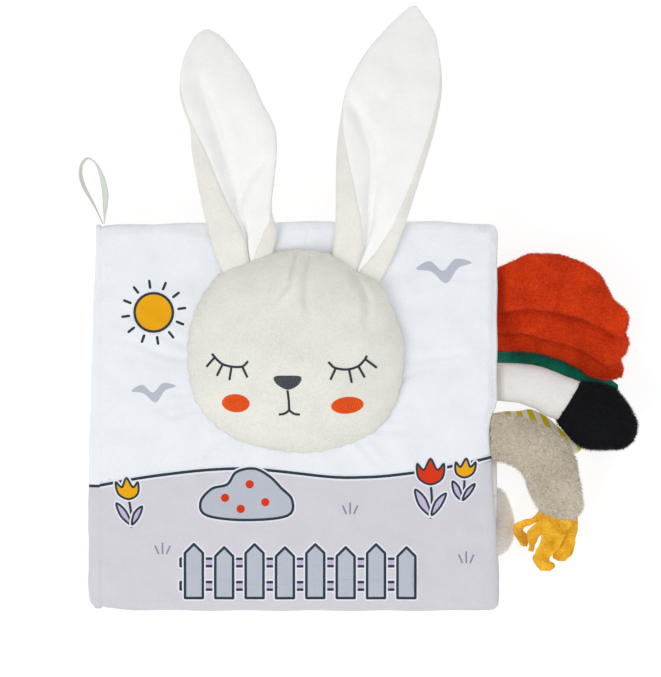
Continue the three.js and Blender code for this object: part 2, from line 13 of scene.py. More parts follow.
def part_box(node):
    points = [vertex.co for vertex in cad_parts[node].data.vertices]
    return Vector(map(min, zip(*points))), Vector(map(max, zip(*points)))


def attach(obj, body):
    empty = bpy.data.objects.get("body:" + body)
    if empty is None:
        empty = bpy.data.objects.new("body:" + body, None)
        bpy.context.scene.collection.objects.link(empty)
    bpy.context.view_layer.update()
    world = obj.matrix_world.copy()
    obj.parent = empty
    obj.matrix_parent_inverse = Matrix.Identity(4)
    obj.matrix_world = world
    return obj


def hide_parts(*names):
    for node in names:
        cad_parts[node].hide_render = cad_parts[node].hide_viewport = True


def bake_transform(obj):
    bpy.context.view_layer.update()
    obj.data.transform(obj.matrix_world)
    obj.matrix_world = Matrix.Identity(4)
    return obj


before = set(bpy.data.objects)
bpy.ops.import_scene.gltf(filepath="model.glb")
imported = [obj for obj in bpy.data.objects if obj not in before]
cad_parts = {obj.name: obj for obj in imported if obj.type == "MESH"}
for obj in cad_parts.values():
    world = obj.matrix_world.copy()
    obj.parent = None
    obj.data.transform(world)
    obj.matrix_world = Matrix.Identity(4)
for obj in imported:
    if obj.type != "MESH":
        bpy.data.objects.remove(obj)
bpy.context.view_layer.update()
MM = 0.001

# Leaves and covers: six sheets, each two polyester fabrics sewn face to face and turned right side
# out over foam and crinkle film. The stitching draws each edge in and puckers it. The covers' outer
# fabric is brushed and printed, their lining is plain, and the leaves are printed on both sides.


def linear(colour):
    """An sRGB hex value as the linear colour that Blender's sockets take."""
    shares = [(colour >> shift & 255) / 255 for shift in (16, 8, 0)]
    return [s / 12.92 if s <= 0.04045 else ((s + 0.055) / 1.055) ** 2.4 for s in shares] + [1.0]


def add_node(tree, kind, inputs=None, **settings):
    """One node with its settings. An input is given a value or the socket that feeds it."""
    made = tree.nodes.new(kind)
    for name, value in settings.items():
        setattr(made, name, value)
    for socket, value in (inputs or {}).items():
        if isinstance(value, bpy.types.NodeSocket):
            tree.links.new(value, made.inputs[socket])
        else:
            made.inputs[socket].default_value = value
    return made


def cloth_material(
    name, light, dark, grain, relief, sheen=0.08, contrast=1, mottle=0.5, patch=12, shine=0.2, printed=False
):
    """Cloth whose nap is light and dark in grains of that size, over wider patches, in millimetres."""
    material = bpy.data.materials.new(name)
    material.use_nodes = True
    tree = material.node_tree
    shader = tree.nodes["Principled BSDF"]
    shader.inputs["Roughness"].default_value = 0.92
    shader.inputs["Specular IOR Level"].default_value = shine
    shader.inputs["Sheen Weight"].default_value = sheen
    shader.inputs["Sheen Roughness"].default_value = 0.5
    place = add_node(tree, "ShaderNodeTexCoord").outputs["Object"]
    fine = {"Vector": place, "Scale": 1 / (grain * MM), "Detail": 4, "Roughness": 0.62}
    nap = add_node(tree, "ShaderNodeTexNoise", fine).outputs[0]
    broad = {"Vector": place, "Scale": 1 / (patch * MM), "Detail": 2}
    wide = add_node(tree, "ShaderNodeTexNoise", broad).outputs[0]
    patches = add_node(tree, "ShaderNodeMath", {0: wide, 1: mottle}, operation="MULTIPLY").outputs[0]
    mixed = add_node(tree, "ShaderNodeMath", {0: nap, 1: patches}, operation="ADD").outputs[0]
    middle = 0.5 + 0.5 * mottle
    limits = {"Value": mixed, "From Min": middle - 0.3 / contrast, "From Max": middle + 0.3 / contrast}
    spread = add_node(tree, "ShaderNodeMapRange", limits).outputs[0]
    tints = {"Factor": spread, "A": linear(dark), "B": linear(light)}
    colour = add_node(tree, "ShaderNodeMix", tints, data_type="RGBA").outputs["Result"]
    if printed:
        ink = add_node(tree, "ShaderNodeVertexColor", layer_name="print").outputs["Color"]
        both = {"Factor": 1.0, "A": colour, "B": ink}
        mixed = add_node(tree, "ShaderNodeMix", both, data_type="RGBA", blend_type="MULTIPLY")
        colour = mixed.outputs["Result"]
    tree.links.new(colour, shader.inputs["Base Color"])
    raised = {"Height": nap, "Strength": relief, "Distance": 0.3 * grain * MM}
    bump = add_node(tree, "ShaderNodeBump", raised)
    tree.links.new(bump.outputs[0], shader.inputs["Normal"])
    return material


def make_object(name, points, faces, materials):
    """A smooth mesh from points in millimetres."""
    mesh = bpy.data.meshes.new(name)
    mesh.from_pydata(np.asarray(points, float) * MM, [], faces)
    mesh.update()
    mesh.shade_smooth()
    for material in materials:
        mesh.materials.append(material)
    made = bpy.data.objects.new(name, mesh)
    bpy.context.scene.collection.objects.link(made)
    return made


def soft_noise(points, size, seed):
    """Smooth noise from -1 to 1 at points in millimetres, with bumps about that size."""
    shift = Vector((seed * 7.3, seed * 3.1, seed * 5.7))
    return np.array([noise.noise(Vector(p) / size + shift) for p in points])


# Radii of the sheets' corners, how far a fore-edge is drawn in, and where the spine's seam runs
COVER_ROUND = 3.5
LEAF_ROUND = 4.0
DRAWN_IN = 1.3
SPINE_EDGE = -89.4

# The front cover's outline, off the photograph: the fore-edge from bottom to top, then the top
# and the bottom edge from the spine out
FORE_EDGE = [(-88, 91), (-79, 91.2), (-65, 90.6), (-47, 89.4), (-34, 88.6), (-25, 88), (-16, 87.1),
             (-7, 86.8), (-0.5, 87.6), (3.5, 89.4), (7, 90.1), (25, 90.2), (61, 90.2), (79, 90.4), (86, 90.1)]
TOP_EDGE = [(-90, 85.2), (-66, 85.8), (-44, 86.3), (-20, 86.8), (20, 87), (60, 87.1), (75, 86.3), (90, 85.6)]
BOTTOM_EDGE = [(-90, -86.3), (-76, -87.7), (-50, -88), (50, -88.1), (80, -87.9), (91, -87.4)]
# The two upper leaves show a pale edge past the cover, below the fur tail's root
PAGE_EDGE = [(-84, 89), (-60, 89.6), (-40, 90.6), (-22, 90.6), (-12, 88.2), (6, 88.4), (84, 88.6)]


class Sheet:
    """The outline and the height of one sheet, from the boxes of its two CAD fabrics."""

    def __init__(self, name, upper, lower):
        self.name = name
        self.upper = f"{name}_{upper}"
        self.lower = f"{name}_{lower}"
        low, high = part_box(self.upper)
        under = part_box(self.lower)[0]
        self.is_cover = "cover" in name
        self.left, self.right = SPINE_EDGE, high.x / MM
        self.half = high.y / MM
        self.seam = (low.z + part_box(self.lower)[1].z) / 2 / MM
        self.top, self.bottom = high.z / MM, under.z / MM
        self.round = COVER_ROUND if self.is_cover else LEAF_ROUND

    def edges(self, x, y):
        """Distances from points to the left, right, lower and upper edge."""
        if self.name == "front_cover":
            right = np.interp(y, *zip(*FORE_EDGE)) + 0.15 * np.sin(y / 4)
            return (
                x - self.left - 0.15 * np.sin(y / 6),
                right - x,
                y - np.interp(x, *zip(*BOTTOM_EDGE)) - 0.15 * np.sin(x / 5),
                np.interp(x, *zip(*TOP_EDGE)) + 0.2 * np.sin(x / 4.5) - y,
            )
        up = y / self.half
        across = (x - self.left) / (self.right - self.left) * 2 - 1
        if self.name in ("leaf_1", "leaf_2"):
            right = np.interp(y, *zip(*PAGE_EDGE))
        else:
            right = self.right - DRAWN_IN * (1 - up**2) ** 2 + 0.3 * np.sin(y / 9) * (1 - up**2)
        drawn = self.half - 0.9 * (1 - across**2) + 0.25 * np.sin(x / 11)
        return x - self.left, right - x, y + drawn, drawn - y

    def depth(self, x, y):
        """Distance from points to the nearest edge, with rounded corners."""
        left, right, below, above = self.edges(x, y)
        across, along = np.minimum(left, right), np.minimum(below, above)
        corner = np.hypot(np.maximum(self.round - across, 0), np.maximum(self.round - along, 0))
        return np.where(corner > 0, self.round - corner, np.minimum(across, along))

    def ring(self, inset, spacing):
        """Closed row of points at one distance from the edge, found by stepping along rays."""
        count = int(4 * self.half * 2 / spacing)
        middle_x = (self.left + self.right) / 2
        angles = np.arange(count) / count * 2 * math.pi
        across, along = np.cos(angles), np.sin(angles)
        stretch = 1 / np.maximum(np.abs(across), np.abs(along))
        across, along = across * stretch, along * stretch
        near, far = np.full(count, 60.0), np.full(count, 100.0)
        for _ in range(26):
            middle = (near + far) / 2
            inside = self.depth(middle_x + across * middle, along * middle) > inset
            near, far = np.where(inside, middle, near), np.where(inside, far, middle)
        return np.c_[middle_x + across * near, along * near]


def triangulate(rim, inner, shapes):
    """Triangles that fill the rim, and for each the number of the topmost shape that it lies in."""
    points = [Vector(p) for p in rim]
    loops = [list(range(len(rim)))]
    for shape in shapes:
        loops.append(list(range(len(points), len(points) + len(shape))))
        points.extend(Vector(p) for p in shape)
    points.extend(Vector(p) for p in inner)
    flat, _, triangles, _, _, sources = delaunay_2d_cdt(points, [], loops, 1, 1e-4)
    kept = [(tri, max(source)) for tri, source in zip(triangles, sources) if 0 in source]
    return np.array([tuple(p) for p in flat]), [list(t) for t, _ in kept], [number for _, number in kept]


def edge_roll(depth, width, rise):
    """Height over the seam at a distance from it: the fabric rolls over the foam's edge."""
    share = np.clip(depth / width, 0, 1)
    return rise * (1 - (1 - share) ** 2.6) ** 0.55


# Rows of points beside the seam: their distances from it and their spacing, and where the grid starts
SEAM_ROWS = (0.25, 0.7, 1.4, 2.4, 3.6)
SEAM_SPACING = 1.5
GRID_INSET = 4.4
# How far in the fabric rolls over the foam's edge, and how deep the stitching puckers it
COVER_ROLL, LEAF_ROLL = 4.0, 5.0
PUCKER = 0.55


def half_cushion(sheet, side, spacing, shapes, inks, material, relief):
    """One fabric of a sheet, from the seam up or down, printed with flat shapes."""
    rim = sheet.ring(0, SEAM_SPACING)
    rows = [sheet.ring(inset, SEAM_SPACING) for inset in SEAM_ROWS]
    xs = np.arange(sheet.left, sheet.right + 2, spacing)
    ys = np.arange(-sheet.half - 2, sheet.half + 2, spacing)
    grid = np.array([(x + 0.5 * spacing * (j % 2), y) for j, y in enumerate(ys) for x in xs])
    grid = grid[sheet.depth(grid[:, 0], grid[:, 1]) > GRID_INSET]
    flat, triangles, numbers = triangulate(rim, np.concatenate(rows + [grid]), shapes)
    x, y = flat[:, 0], flat[:, 1]
    depth = np.maximum(sheet.depth(x, y), 0)
    rise = (sheet.top - sheet.seam) if side > 0 else (sheet.seam - sheet.bottom)
    height = edge_roll(depth, COVER_ROLL if sheet.is_cover else LEAF_ROLL, rise)
    seed = len(sheet.name) + side + sheet.seam
    pucker = soft_noise(np.c_[x, y, np.full(len(x), seed)], 2.6, seed)
    height = height - PUCKER * np.exp(-depth / 5) * np.clip(depth / 0.8, 0, 1) * (0.5 + pucker)
    height = np.maximum(height + relief(x, y, depth), 0)
    height[depth < 1e-3] = 0
    points = np.c_[x, y, sheet.seam + side * height]
    corners = [tri if side > 0 else tri[::-1] for tri in triangles]
    fabric = sheet.upper if side > 0 else sheet.lower
    made = make_object(f"{fabric}_cloth", points, corners + [border(corners)[::-1]], [material])
    paint(made, [inks[number] for number in numbers] + [inks[0]])
    return drop_loose(made)


def border(faces):
    """The open edge of a patch of faces as one loop of points, in the faces' own direction."""
    pairs = {(a, b) for face in faces for a, b in zip(face, face[1:] + face[:1])}
    after = {a: b for a, b in pairs if (b, a) not in pairs}
    loop = [min(after)]
    while after[loop[-1]] != loop[0]:
        loop.append(after[loop[-1]])
    return loop


def paint(made, inks):
    """Gives each face its ink, which multiplies the cloth's own colour."""
    layer = made.data.color_attributes.new("print", "FLOAT_COLOR", "CORNER")
    colours = np.zeros((len(made.data.loops), 4))
    for face, ink in zip(made.data.polygons, inks):
        colours[face.loop_start : face.loop_start + face.loop_total] = ink
    layer.data.foreach_set("color", colours.ravel())


def drop_loose(made):
    """Removes points that no face uses."""
    cleaned = bmesh.new()
    cleaned.from_mesh(made.data)
    loose = [point for point in cleaned.verts if not point.link_faces]
    if loose:
        bmesh.ops.delete(cleaned, geom=loose, context="VERTS")
        cleaned.to_mesh(made.data)
    cleaned.free()
    return made


def curve_through(points, steps=8, closed=False):
    """Smooth row of points through the given ones."""
    points = np.asarray(points, float)
    if closed:
        padded = np.concatenate([points[-1:], points, points[:2]])
    else:
        padded = np.concatenate([2 * points[:1] - points[1:2], points, 2 * points[-1:] - points[-2:-1]])
    t = (np.arange(steps) / steps)[:, None]
    rows = []
    for a, b, c, d in zip(padded, padded[1:], padded[2:], padded[3:]):
        bend, turn = 2 * a - 5 * b + 4 * c - d, 3 * b - a - 3 * c + d
        rows.append(0.5 * (2 * b + (c - a) * t + bend * t**2 + turn * t**3))
    joined = np.concatenate(rows)
    return joined if closed else np.concatenate([joined, points[-1:]])


# The seam that holds the rabbit's head, which the cover's cloth is gathered round
HEAD_MIDDLE = np.array([-0.3, 28.8])
head_edge = curve_through(
    [(1.7, 74.3), (9.5, 73.4), (16.1, 71.7), (26.6, 65.2), (37, 59.3), (42.3, 50.1), (46.2, 39),
     (48.1, 32.4), (47.8, 19.4), (44.2, 5), (36.4, -6.1), (24, -12.7), (9.6, -16.3), (-0.2, -16.6),
     (-15.3, -14.3), (-30.3, -8.8), (-43.4, 3.7), (-48, 18), (-48.6, 32.4), (-45.3, 46.8), (-39.5, 57.3),
     (-33, 64.2), (-25.7, 67.7), (-10, 73)],
    8,
    closed=True,
)


def head_reach(angle):
    """Distance from the head's middle to its edge in a direction."""
    edge = head_edge - HEAD_MIDDLE
    turns = np.arctan2(edge[:, 1], edge[:, 0])
    order = np.argsort(turns)
    return np.interp(angle, turns[order], np.hypot(*edge.T)[order], period=2 * math.pi)


def plane_tree(places):
    """A search tree over places on the plane."""
    tree = kdtree.KDTree(len(places))
    for index, (x, y) in enumerate(places):
        tree.insert((x, y, 0), index)
    tree.balance()
    return tree


def between(places, values, reach=1.6):
    """A function that reads values between scattered places, the nearer the more."""
    tree = plane_tree(places)

    def read(x, y):
        """The values at those points."""
        found = []
        for px, py in zip(x, y):
            near = tree.find_n((px, py, 0), 6)
            weights = [math.exp(-((far / reach) ** 2)) for _, _, far in near]
            found.append(sum(w * values[index] for w, (_, index, _) in zip(weights, near)) / sum(weights))
        return np.array(found)

    return read


# The simulated cloth: spacing of its points, times its size, share of spare cloth, and its last frame
CLOTH_SPACING = 2.3
CLOTH_SCALE = 10
CLOTH_EASE = 0.008
CLOTH_FRAMES = 30
# It is held past those distances from the middle, and up to that share of the head's reach
HELD_X, HELD_Y, HELD_HEAD = 88, 86, 1.03
# The foam under it, at its scale: half its width, and its level
FOAM_HALF, FOAM_LEVEL = 1500, -6
# The foam fills the cloth's broad swelling over that width in part, and leaves the folds
FOLD_WIDTH = 10
SWELL_TAKEN = 0.8


def pulled_cloth():
    """Simulates the cover's cloth and gives its height at any place.

    The rim and the head's seam hold it. It is cut a little too large, most of all beside the
    head, and settles on the foam in folds. It is simulated at ten times its size, which is steadier.
    """
    columns = np.arange(-89.7, 89.8, CLOTH_SPACING)
    rows = np.arange(-87.5, 87.5, CLOTH_SPACING * math.sqrt(3) / 2)
    places = np.array([(x + CLOTH_SPACING / 2 * (j % 2), y) for j, y in enumerate(rows) for x in columns])
    places += np.random.default_rng(4).uniform(-0.25, 0.25, places.shape)
    flat, _, triangles, *_ = delaunay_2d_cdt([Vector(p) for p in places], [], [], 0, 1e-5)
    places = np.array([tuple(p) for p in flat])
    start = 0.3 * soft_noise(np.c_[places, np.full(len(places), 40.0)], 12, 0)
    corners = [list(tri) for tri in triangles]
    cloth = make_object("cover_cloth_trial", np.c_[places, start] * CLOTH_SCALE, corners, [])
    away = places - HEAD_MIDDLE
    share = np.hypot(*away.T) / head_reach(np.arctan2(away[:, 1], away[:, 0]))
    rim = (np.abs(places[:, 0]) > HELD_X) | (np.abs(places[:, 1]) > HELD_Y)
    held = rim | (share < HELD_HEAD)
    tight = 0.65 - 0.65 * np.exp(-(((share - 1) / 0.4) ** 2))
    for name, weights in (("held", held.astype(float)), ("tight", tight)):
        group = cloth.vertex_groups.new(name=name)
        for index in np.flatnonzero(weights):
            group.add([int(index)], float(weights[index]), "REPLACE")
    modifier = cloth.modifiers.new("cloth", "CLOTH")
    settings = modifier.settings
    settings.quality = 6
    settings.mass = 0.3
    settings.tension_stiffness = settings.compression_stiffness = 25
    settings.shear_stiffness = 10
    settings.bending_stiffness = 40
    settings.tension_damping = settings.compression_damping = settings.shear_damping = 10
    settings.bending_damping = settings.air_damping = 2
    settings.vertex_group_mass = "held"
    settings.vertex_group_shrink = "tight"
    settings.shrink_min = -CLOTH_EASE
    settings.effector_weights.gravity = 0
    modifier.collision_settings.distance_min = 0.001
    ways = ((-1, -1), (1, -1), (1, 1), (-1, 1))
    foam = [(x * FOAM_HALF, y * FOAM_HALF, FOAM_LEVEL) for x, y in ways]
    under = make_object("cover_foam_trial", foam, [(0, 1, 2, 3)], [])
    under.modifiers.new("collision", "COLLISION")
    under.collision.thickness_outer = 0.001
    for frame_number in range(1, CLOTH_FRAMES + 1):
        bpy.context.scene.frame_set(frame_number)
    settled = cloth.evaluated_get(bpy.context.evaluated_depsgraph_get()).data
    heights = np.array([point.co.z for point in settled.vertices]) / MM / CLOTH_SCALE
    bpy.context.scene.frame_set(1)
    bpy.data.objects.remove(cloth)
    bpy.data.objects.remove(under)
    tree = plane_tree(places)
    swell = [np.mean([heights[n] for _, n, _ in tree.find_range((x, y, 0), FOLD_WIDTH)]) for x, y in places]
    return between(places, heights - SWELL_TAKEN * np.array(swell))


cloth_height = pulled_cloth()


def near_line(x, y, line):
    """Distance from points to a line of steps, and how far along it from 0 to 1."""
    best = np.full(len(x), 1e9)
    along = np.zeros(len(x))
    for index, (a, b) in enumerate(zip(np.array(line), np.array(line[1:]))):
        step = b - a
        share = np.clip(((x - a[0]) * step[0] + (y - a[1]) * step[1]) / (step @ step), 0, 1)
        far = np.hypot(x - a[0] - share * step[0], y - a[1] - share * step[1])
        along = np.where(far < best, (index + share) / (len(line) - 1), along)
        best = np.minimum(best, far)
    return best, along


# Lasting creases from the head's seam out into the cover: the line, how deep and how wide
creases = [
    ([(-83, 51), (-70, 42.4), (-58.6, 36.2), (-49.4, 30.6)], 0.6, 1.9),
    ([(-85, 35.4), (-71, 32.4), (-61.3, 27.8), (-50.2, 25.6)], 0.6, 1.7),
    ([(-60, -1), (-52, 0.2), (-45, 3)], 0.6, 1.2),
    ([(-57, 9), (-46.8, 9.8)], 0.5, 1.1),
    ([(-41.4, -16.8), (-37.4, -13.2), (-32.9, -9.6)], 0.6, 1.2),
    ([(-25, -18.5), (-22.6, -12)], 0.5, 0.9),
    ([(56.2, 21.8), (51.4, 18.3), (47.2, 15.4)], 0.9, 0.9),
    ([(80, 27.5), (63, 26.2), (48.6, 23.8)], 0.5, 1.6),
    ([(51.4, -6.6), (42.4, -7.2), (35.6, -6.4)], 0.6, 1.5),
    ([(44, 1.2), (38, -2.4)], 0.5, 1.1),
    ([(38, -24.6), (33, -17.8), (27.8, -12.4)], 0.6, 1.6),
    ([(7, 84), (5, 79.4), (3, 75)], 0.6, 1.2),
    ([(86, 59), (76, 62.8), (66, 61), (55, 58)], 0.4, 2.2),
    ([(-79, 62), (-66, 58), (-52, 56)], 0.35, 2.2),
]
# Beside the edge, the seam allowance ends in a groove: how far in, how deep, and how much deeper
# along the fore-edge above the fur tail
EDGE_GROOVE = 2.5
GROOVE_DEPTH, FORE_GROOVE_DEPTH = 0.5, 1.2


def cover_relief(x, y, depth):
    """Folds and creases round the head, and the groove along the edge."""
    plane = np.c_[x, y, np.zeros(len(x))]
    waves = 0.15 * soft_noise(plane, 34, 2) + 0.1 * soft_noise(plane, 13, 4)
    relief = waves + np.clip(cloth_height(x, y), -0.6, 1.2) - 0.5
    for line, deep, wide in creases:
        far, along = near_line(x, y, line)
        taper = np.clip(3 * along, 0, 1) if deep < 0.8 else np.clip(1.5 * along, 0, 1)
        relief = relief - deep * taper * np.exp(-((far / wide) ** 2))
        relief = relief + 0.35 * deep * taper * np.exp(-(((far - 1.8 * wide) / wide) ** 2))
    deep = GROOVE_DEPTH + FORE_GROOVE_DEPTH * (x > 80) * np.clip((y + 4) / 8, 0, 1)
    wander = soft_noise(plane, 9, 12)
    groove = deep * (1 + 0.5 * wander) * np.exp(-(((depth - EDGE_GROOVE - 0.4 * wander) / 0.7) ** 2))
    return relief * np.clip(depth / 6, 0, 1) - groove


def plain_relief(x, y, depth):
    """The slight waves of a fabric that nothing is sewn to."""
    plane = np.c_[x, y, np.ones(len(x))]
    waves = 0.14 * soft_noise(plane, 30, 3) + 0.06 * soft_noise(plane, 9, 5)
    return (waves - 0.2) * np.clip(depth / 6, 0, 1)


# Print: flat inks, heat-transferred onto the polyester before it is sewn, so that they take on its
# nap and its folds. A garden of plain shapes on the front cover, and dots over a band on the pages.


def oval(x, y, across, up, turn=0.0, count=28):
    """An ellipse with those half widths, turned by degrees."""
    angles = np.arange(count) / count * 2 * math.pi
    points = np.c_[across * np.cos(angles), up * np.sin(angles)]
    c, s = math.cos(math.radians(turn)), math.sin(math.radians(turn))
    return points @ np.array([[c, s], [-s, c]]) + (x, y)


def anticlockwise(shape):
    """A shape's points, put in that order."""
    shape = np.asarray(shape, float)
    after = np.roll(shape, -1, axis=0)
    area = np.sum(shape[:, 0] * after[:, 1] - after[:, 0] * shape[:, 1])
    return shape if area > 0 else shape[::-1]


# An ink multiplies the cloth's own colour
INK_SKY = linear(0xFFFFFF)
INK_GROUND = linear(0xE3DEE1)
INK_LINE = linear(0x2F4149)
INK_HALO = linear(0xF7F5F8)
INK_PALE_LINE = linear(0x9B99A6)
INK_RED = linear(0xEA3A16)
INK_AMBER = linear(0xFFB40C)
INK_LILAC = linear(0xD3C2DC)
INK_GREY = linear(0xC9CCD3)

shapes, inks = [], [INK_SKY]


def fill(shape, ink):
    """Adds a flat shape to the front cover's print."""
    shapes.append(anticlockwise(shape))
    inks.append(ink)


def stroke(points, ink=INK_LINE, width=1.2):
    """A drawn line: a strip for each step and a dot at each bend."""
    points = np.asarray(points, float)
    for start, end in zip(points, points[1:]):
        along = end - start
        side = np.array([-along[1], along[0]]) / (np.linalg.norm(along) or 1) * width / 2
        fill([start - side, end - side, end + side, start + side], ink)
    for x, y in points:
        fill(oval(x, y, width / 2, width / 2, count=8), ink)


def outlined(shape, ink, width=1.2):
    """A shape with a dark line round it, and a thin pale one round that."""
    ring = np.concatenate([shape, shape[:1]])
    stroke(ring, INK_HALO, width + 1.4)
    fill(shape, ink)
    stroke(ring, width=width)


# A hilly ground
HILL_LINE = 1.3
hill = curve_through([(-96, -33), (-62, -27), (-24, -24), (22, -28), (58, -25), (96, -17)], 9)
fill(np.concatenate([hill, [(96, -95), (-96, -95)]]), INK_GROUND)
stroke(hill, INK_HALO, 3.0)
stroke(hill, width=HILL_LINE)

# Two gulls
for x, y, size in [(66, 62, 1.0), (-64, 8, 0.8)]:
    gull = [(-12.5, 3.4), (-6.4, 7), (-0.4, 2.6), (5.2, 8), (12.5, 6.2), (6.4, 3.8), (1, -3), (-5.6, 2.2)]
    fill(curve_through([(x + size * px, y + size * py) for px, py in gull], 5, closed=True), INK_GREY)

# A sun with its rays
SUN_X, SUN_Y, SUN_RADIUS = -64, 46, 8.6
for turn in range(0, 360, 30):
    a = math.radians(turn + 8)
    stroke([(SUN_X + r * math.cos(a), SUN_Y + r * math.sin(a)) for r in (11.2, 14.2)])
outlined(oval(SUN_X, SUN_Y, SUN_RADIUS, SUN_RADIUS), INK_AMBER)


def tulip(x, y, size, ink, lean=0.0):
    """A tulip on its stem with two leaves, standing at x, y."""

    def put(rows):
        """Points of the tulip, in their places on the cover."""
        return np.array([(x + size * (px + lean * py / 20), y + size * py) for px, py in rows])

    stroke(put(curve_through([(0, 0), (0.5, 7), (0, 14)], 4)), width=1.1)
    outlined(put(curve_through([(0, 1), (-4.5, 5), (-6, 11), (-2, 7.5)], 4, closed=True)), INK_LILAC, 1.0)
    outlined(put(curve_through([(0.4, 1), (4, 4.5), (6, 9.5), (2, 6.5)], 4, closed=True)), INK_LILAC, 1.0)
    cup = [(0, 13), (-4.6, 15.5), (-5.2, 21), (-2.6, 18.6), (0, 23), (2.6, 18.6), (5.2, 21), (4.6, 15.5)]
    outlined(put(curve_through(cup, 4, closed=True)), ink, 1.0)


tulip(60, -46, 1.15, INK_RED)
tulip(74, -39, 0.85, INK_AMBER, 2)
tulip(-74, -50, 0.95, INK_AMBER, -2)

# A bush with berries
BERRY_RADIUS = 1.9
bush = [(-40, -45), (-43, -39), (-38, -33), (-31, -31), (-27, -25.5), (-19, -24), (-12, -27.5), (-7, -32.5),
        (-2, -38), (-4, -45), (-22, -47)]
outlined(curve_through(bush, 5, closed=True), INK_GREY)
for x, y in [(-32, -37), (-21, -31), (-14, -39), (-25, -42)]:
    fill(oval(x, y, BERRY_RADIUS, BERRY_RADIUS, count=14), INK_RED)

# A picket fence on two rails
PICKET_WIDTH, PICKET_GAP = 8.0, 5.6
PICKET_FOOT, PICKET_TIP, PICKET_SHOULDER = -82, -58.5, 4
RAIL_START, RAIL_END, RAIL_HALF = -52.0, 50.0, 1.7
for y in (-66, -76.5):
    low, high = y - RAIL_HALF, y + RAIL_HALF
    outlined([(RAIL_START, low), (RAIL_END, low), (RAIL_END, high), (RAIL_START, high)], INK_LILAC)
for index in range(8):
    x = RAIL_START + 2 + index * (PICKET_WIDTH + PICKET_GAP)
    far = x + PICKET_WIDTH
    tip = PICKET_TIP + 0.7 * (-1) ** index
    low = tip - PICKET_SHOULDER
    outlined([(x, PICKET_FOOT), (far, PICKET_FOOT), (far, low), ((x + far) / 2, tip), (x, low)], INK_GREY)

# Tufts of grass
for x, y in [(24, -44), (-60, -62), (76, -66)]:
    for lean in (-2.6, 0, 2.6):
        stroke([(x + lean * 0.7, y), (x + lean * 1.25, y + 4.6 - abs(lean) * 0.5)], INK_PALE_LINE, 0.8)

# Printed brushed polyester is matt and faintly fuzzy, so its white is a little uneven; the lining and
# the pages are plain woven polyester, smoother and more even. A weave of 0.3 mm threads is too fine
# to show, so its grain is drawn about three times as coarse.
cover_cloth = cloth_material("printed brushed polyester", 0xF1F4F9, 0xE6EBF1, 0.9, 0.25, printed=True)
lining_cloth = cloth_material("cream woven polyester", 0xF4E8CC, 0xEADBB8, 0.8, 0.2, printed=True)
page_cloth = cloth_material("printed woven polyester", 0xFFFFFF, 0xF1F1F1, 0.8, 0.2, printed=True)

DOT_PITCH, DOT_RADIUS, PAGE_STRIP = 25, 3.2, 85
PAGE_INKS = [0xCFE3D6, 0xF2DFCB, 0xD5DDEF, 0xEFD9DF, 0xDDE9C9, 0xF4EBC8, 0xD3E6EA, 0xE6DDF0]


def page_print(number):
    """Dots in rows on a page, over a broad band at its foot, with a plain strip along the fore-edge."""
    page_shapes, page_inks = [], [linear(PAGE_INKS[number])]
    band = curve_through([(-96, -40 - number), (-30, -34 + 2 * number), (30, -42), (96, -36 - number)], 8)
    page_shapes.append(anticlockwise(np.concatenate([band, [(96, -95), (-96, -95)]])))
    page_inks.append(linear(PAGE_INKS[(number + 3) % len(PAGE_INKS)]))
    for row in range(4):
        for column in range(6):
            x = -66 + DOT_PITCH * column + 12 * (row % 2)
            page_shapes.append(oval(x, -14 + 24 * row, DOT_RADIUS, DOT_RADIUS, count=16))
            page_inks.append(linear([0xFFFFFF, 0xF0A23C, 0xE0563A][(row + column + number) % 3]))
    strip = [(PAGE_STRIP, -95), (96, -95), (96, 95), (PAGE_STRIP, 95)]
    page_shapes.append(anticlockwise(strip))
    page_inks.append(linear(0xF2F1F5))
    return page_shapes, page_inks


# Spacing of a fabric's points: fine under the cover's folds, wide elsewhere
COVER_SPACING, PLAIN_SPACING = 1.2, 3.0
sheets = [Sheet("back_cover", "lining_panel", "outer_panel")]
sheets += [Sheet(f"leaf_{number}", "front_panel", "back_panel") for number in (4, 3, 2, 1)]
sheets += [Sheet("front_cover", "outer_panel", "lining_panel")]
for order, sheet in enumerate(sheets):
    for side in (1, -1):
        fabric = sheet.upper if side > 0 else sheet.lower
        if fabric == "front_cover_outer_panel":
            made = half_cushion(sheet, side, COVER_SPACING, shapes, inks, cover_cloth, cover_relief)
        elif fabric == "back_cover_outer_panel":
            made = half_cushion(sheet, side, PLAIN_SPACING, shapes[:1], inks[:2], cover_cloth, plain_relief)
        elif sheet.is_cover:
            made = half_cushion(sheet, side, PLAIN_SPACING, [], [INK_SKY], lining_cloth, plain_relief)
        else:
            pages = page_print((2 * order + (side < 0)) % len(PAGE_INKS))
            made = half_cushion(sheet, side, PLAIN_SPACING, *pages, page_cloth, plain_relief)
        filling = [f"{sheet.name}_foam", f"{sheet.name}_crinkle_film"] if side > 0 else []
        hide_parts(fabric, *filling)
        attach(made, sheet.name)


# Spine: strips of the covers' brushed polyester, sewn into the sheets' seams, join each sheet to the
# next and belly out between them, most in the lower half of the book. The one beside the turned cover
# lies nearly flat. The uppermost laps over the front cover's edge and carries on its print.

SPINE_X = -90.0
SPINE_THICK = 0.7
SPINE_START, SPINE_END, SPINE_ROWS = -86.8, 85.4, 64
# Share of the swell that each strip has, from the back cover up
STRIP_SHARES = [0.35, 0.5, 0.65, 0.12, 1]
# How far the spine bellies out, from bottom to top
SPINE_SWELL = [(-86.8, 0.8), (-86, 2), (-84.5, 2.9), (-81, 3.6), (-76, 3.8), (-29, 3.8), (-11, 3.4), (7, 2.8),
               (25, 2.2), (43, 1.8), (61, 1), (79, 0.3), (85.4, 0.1)]
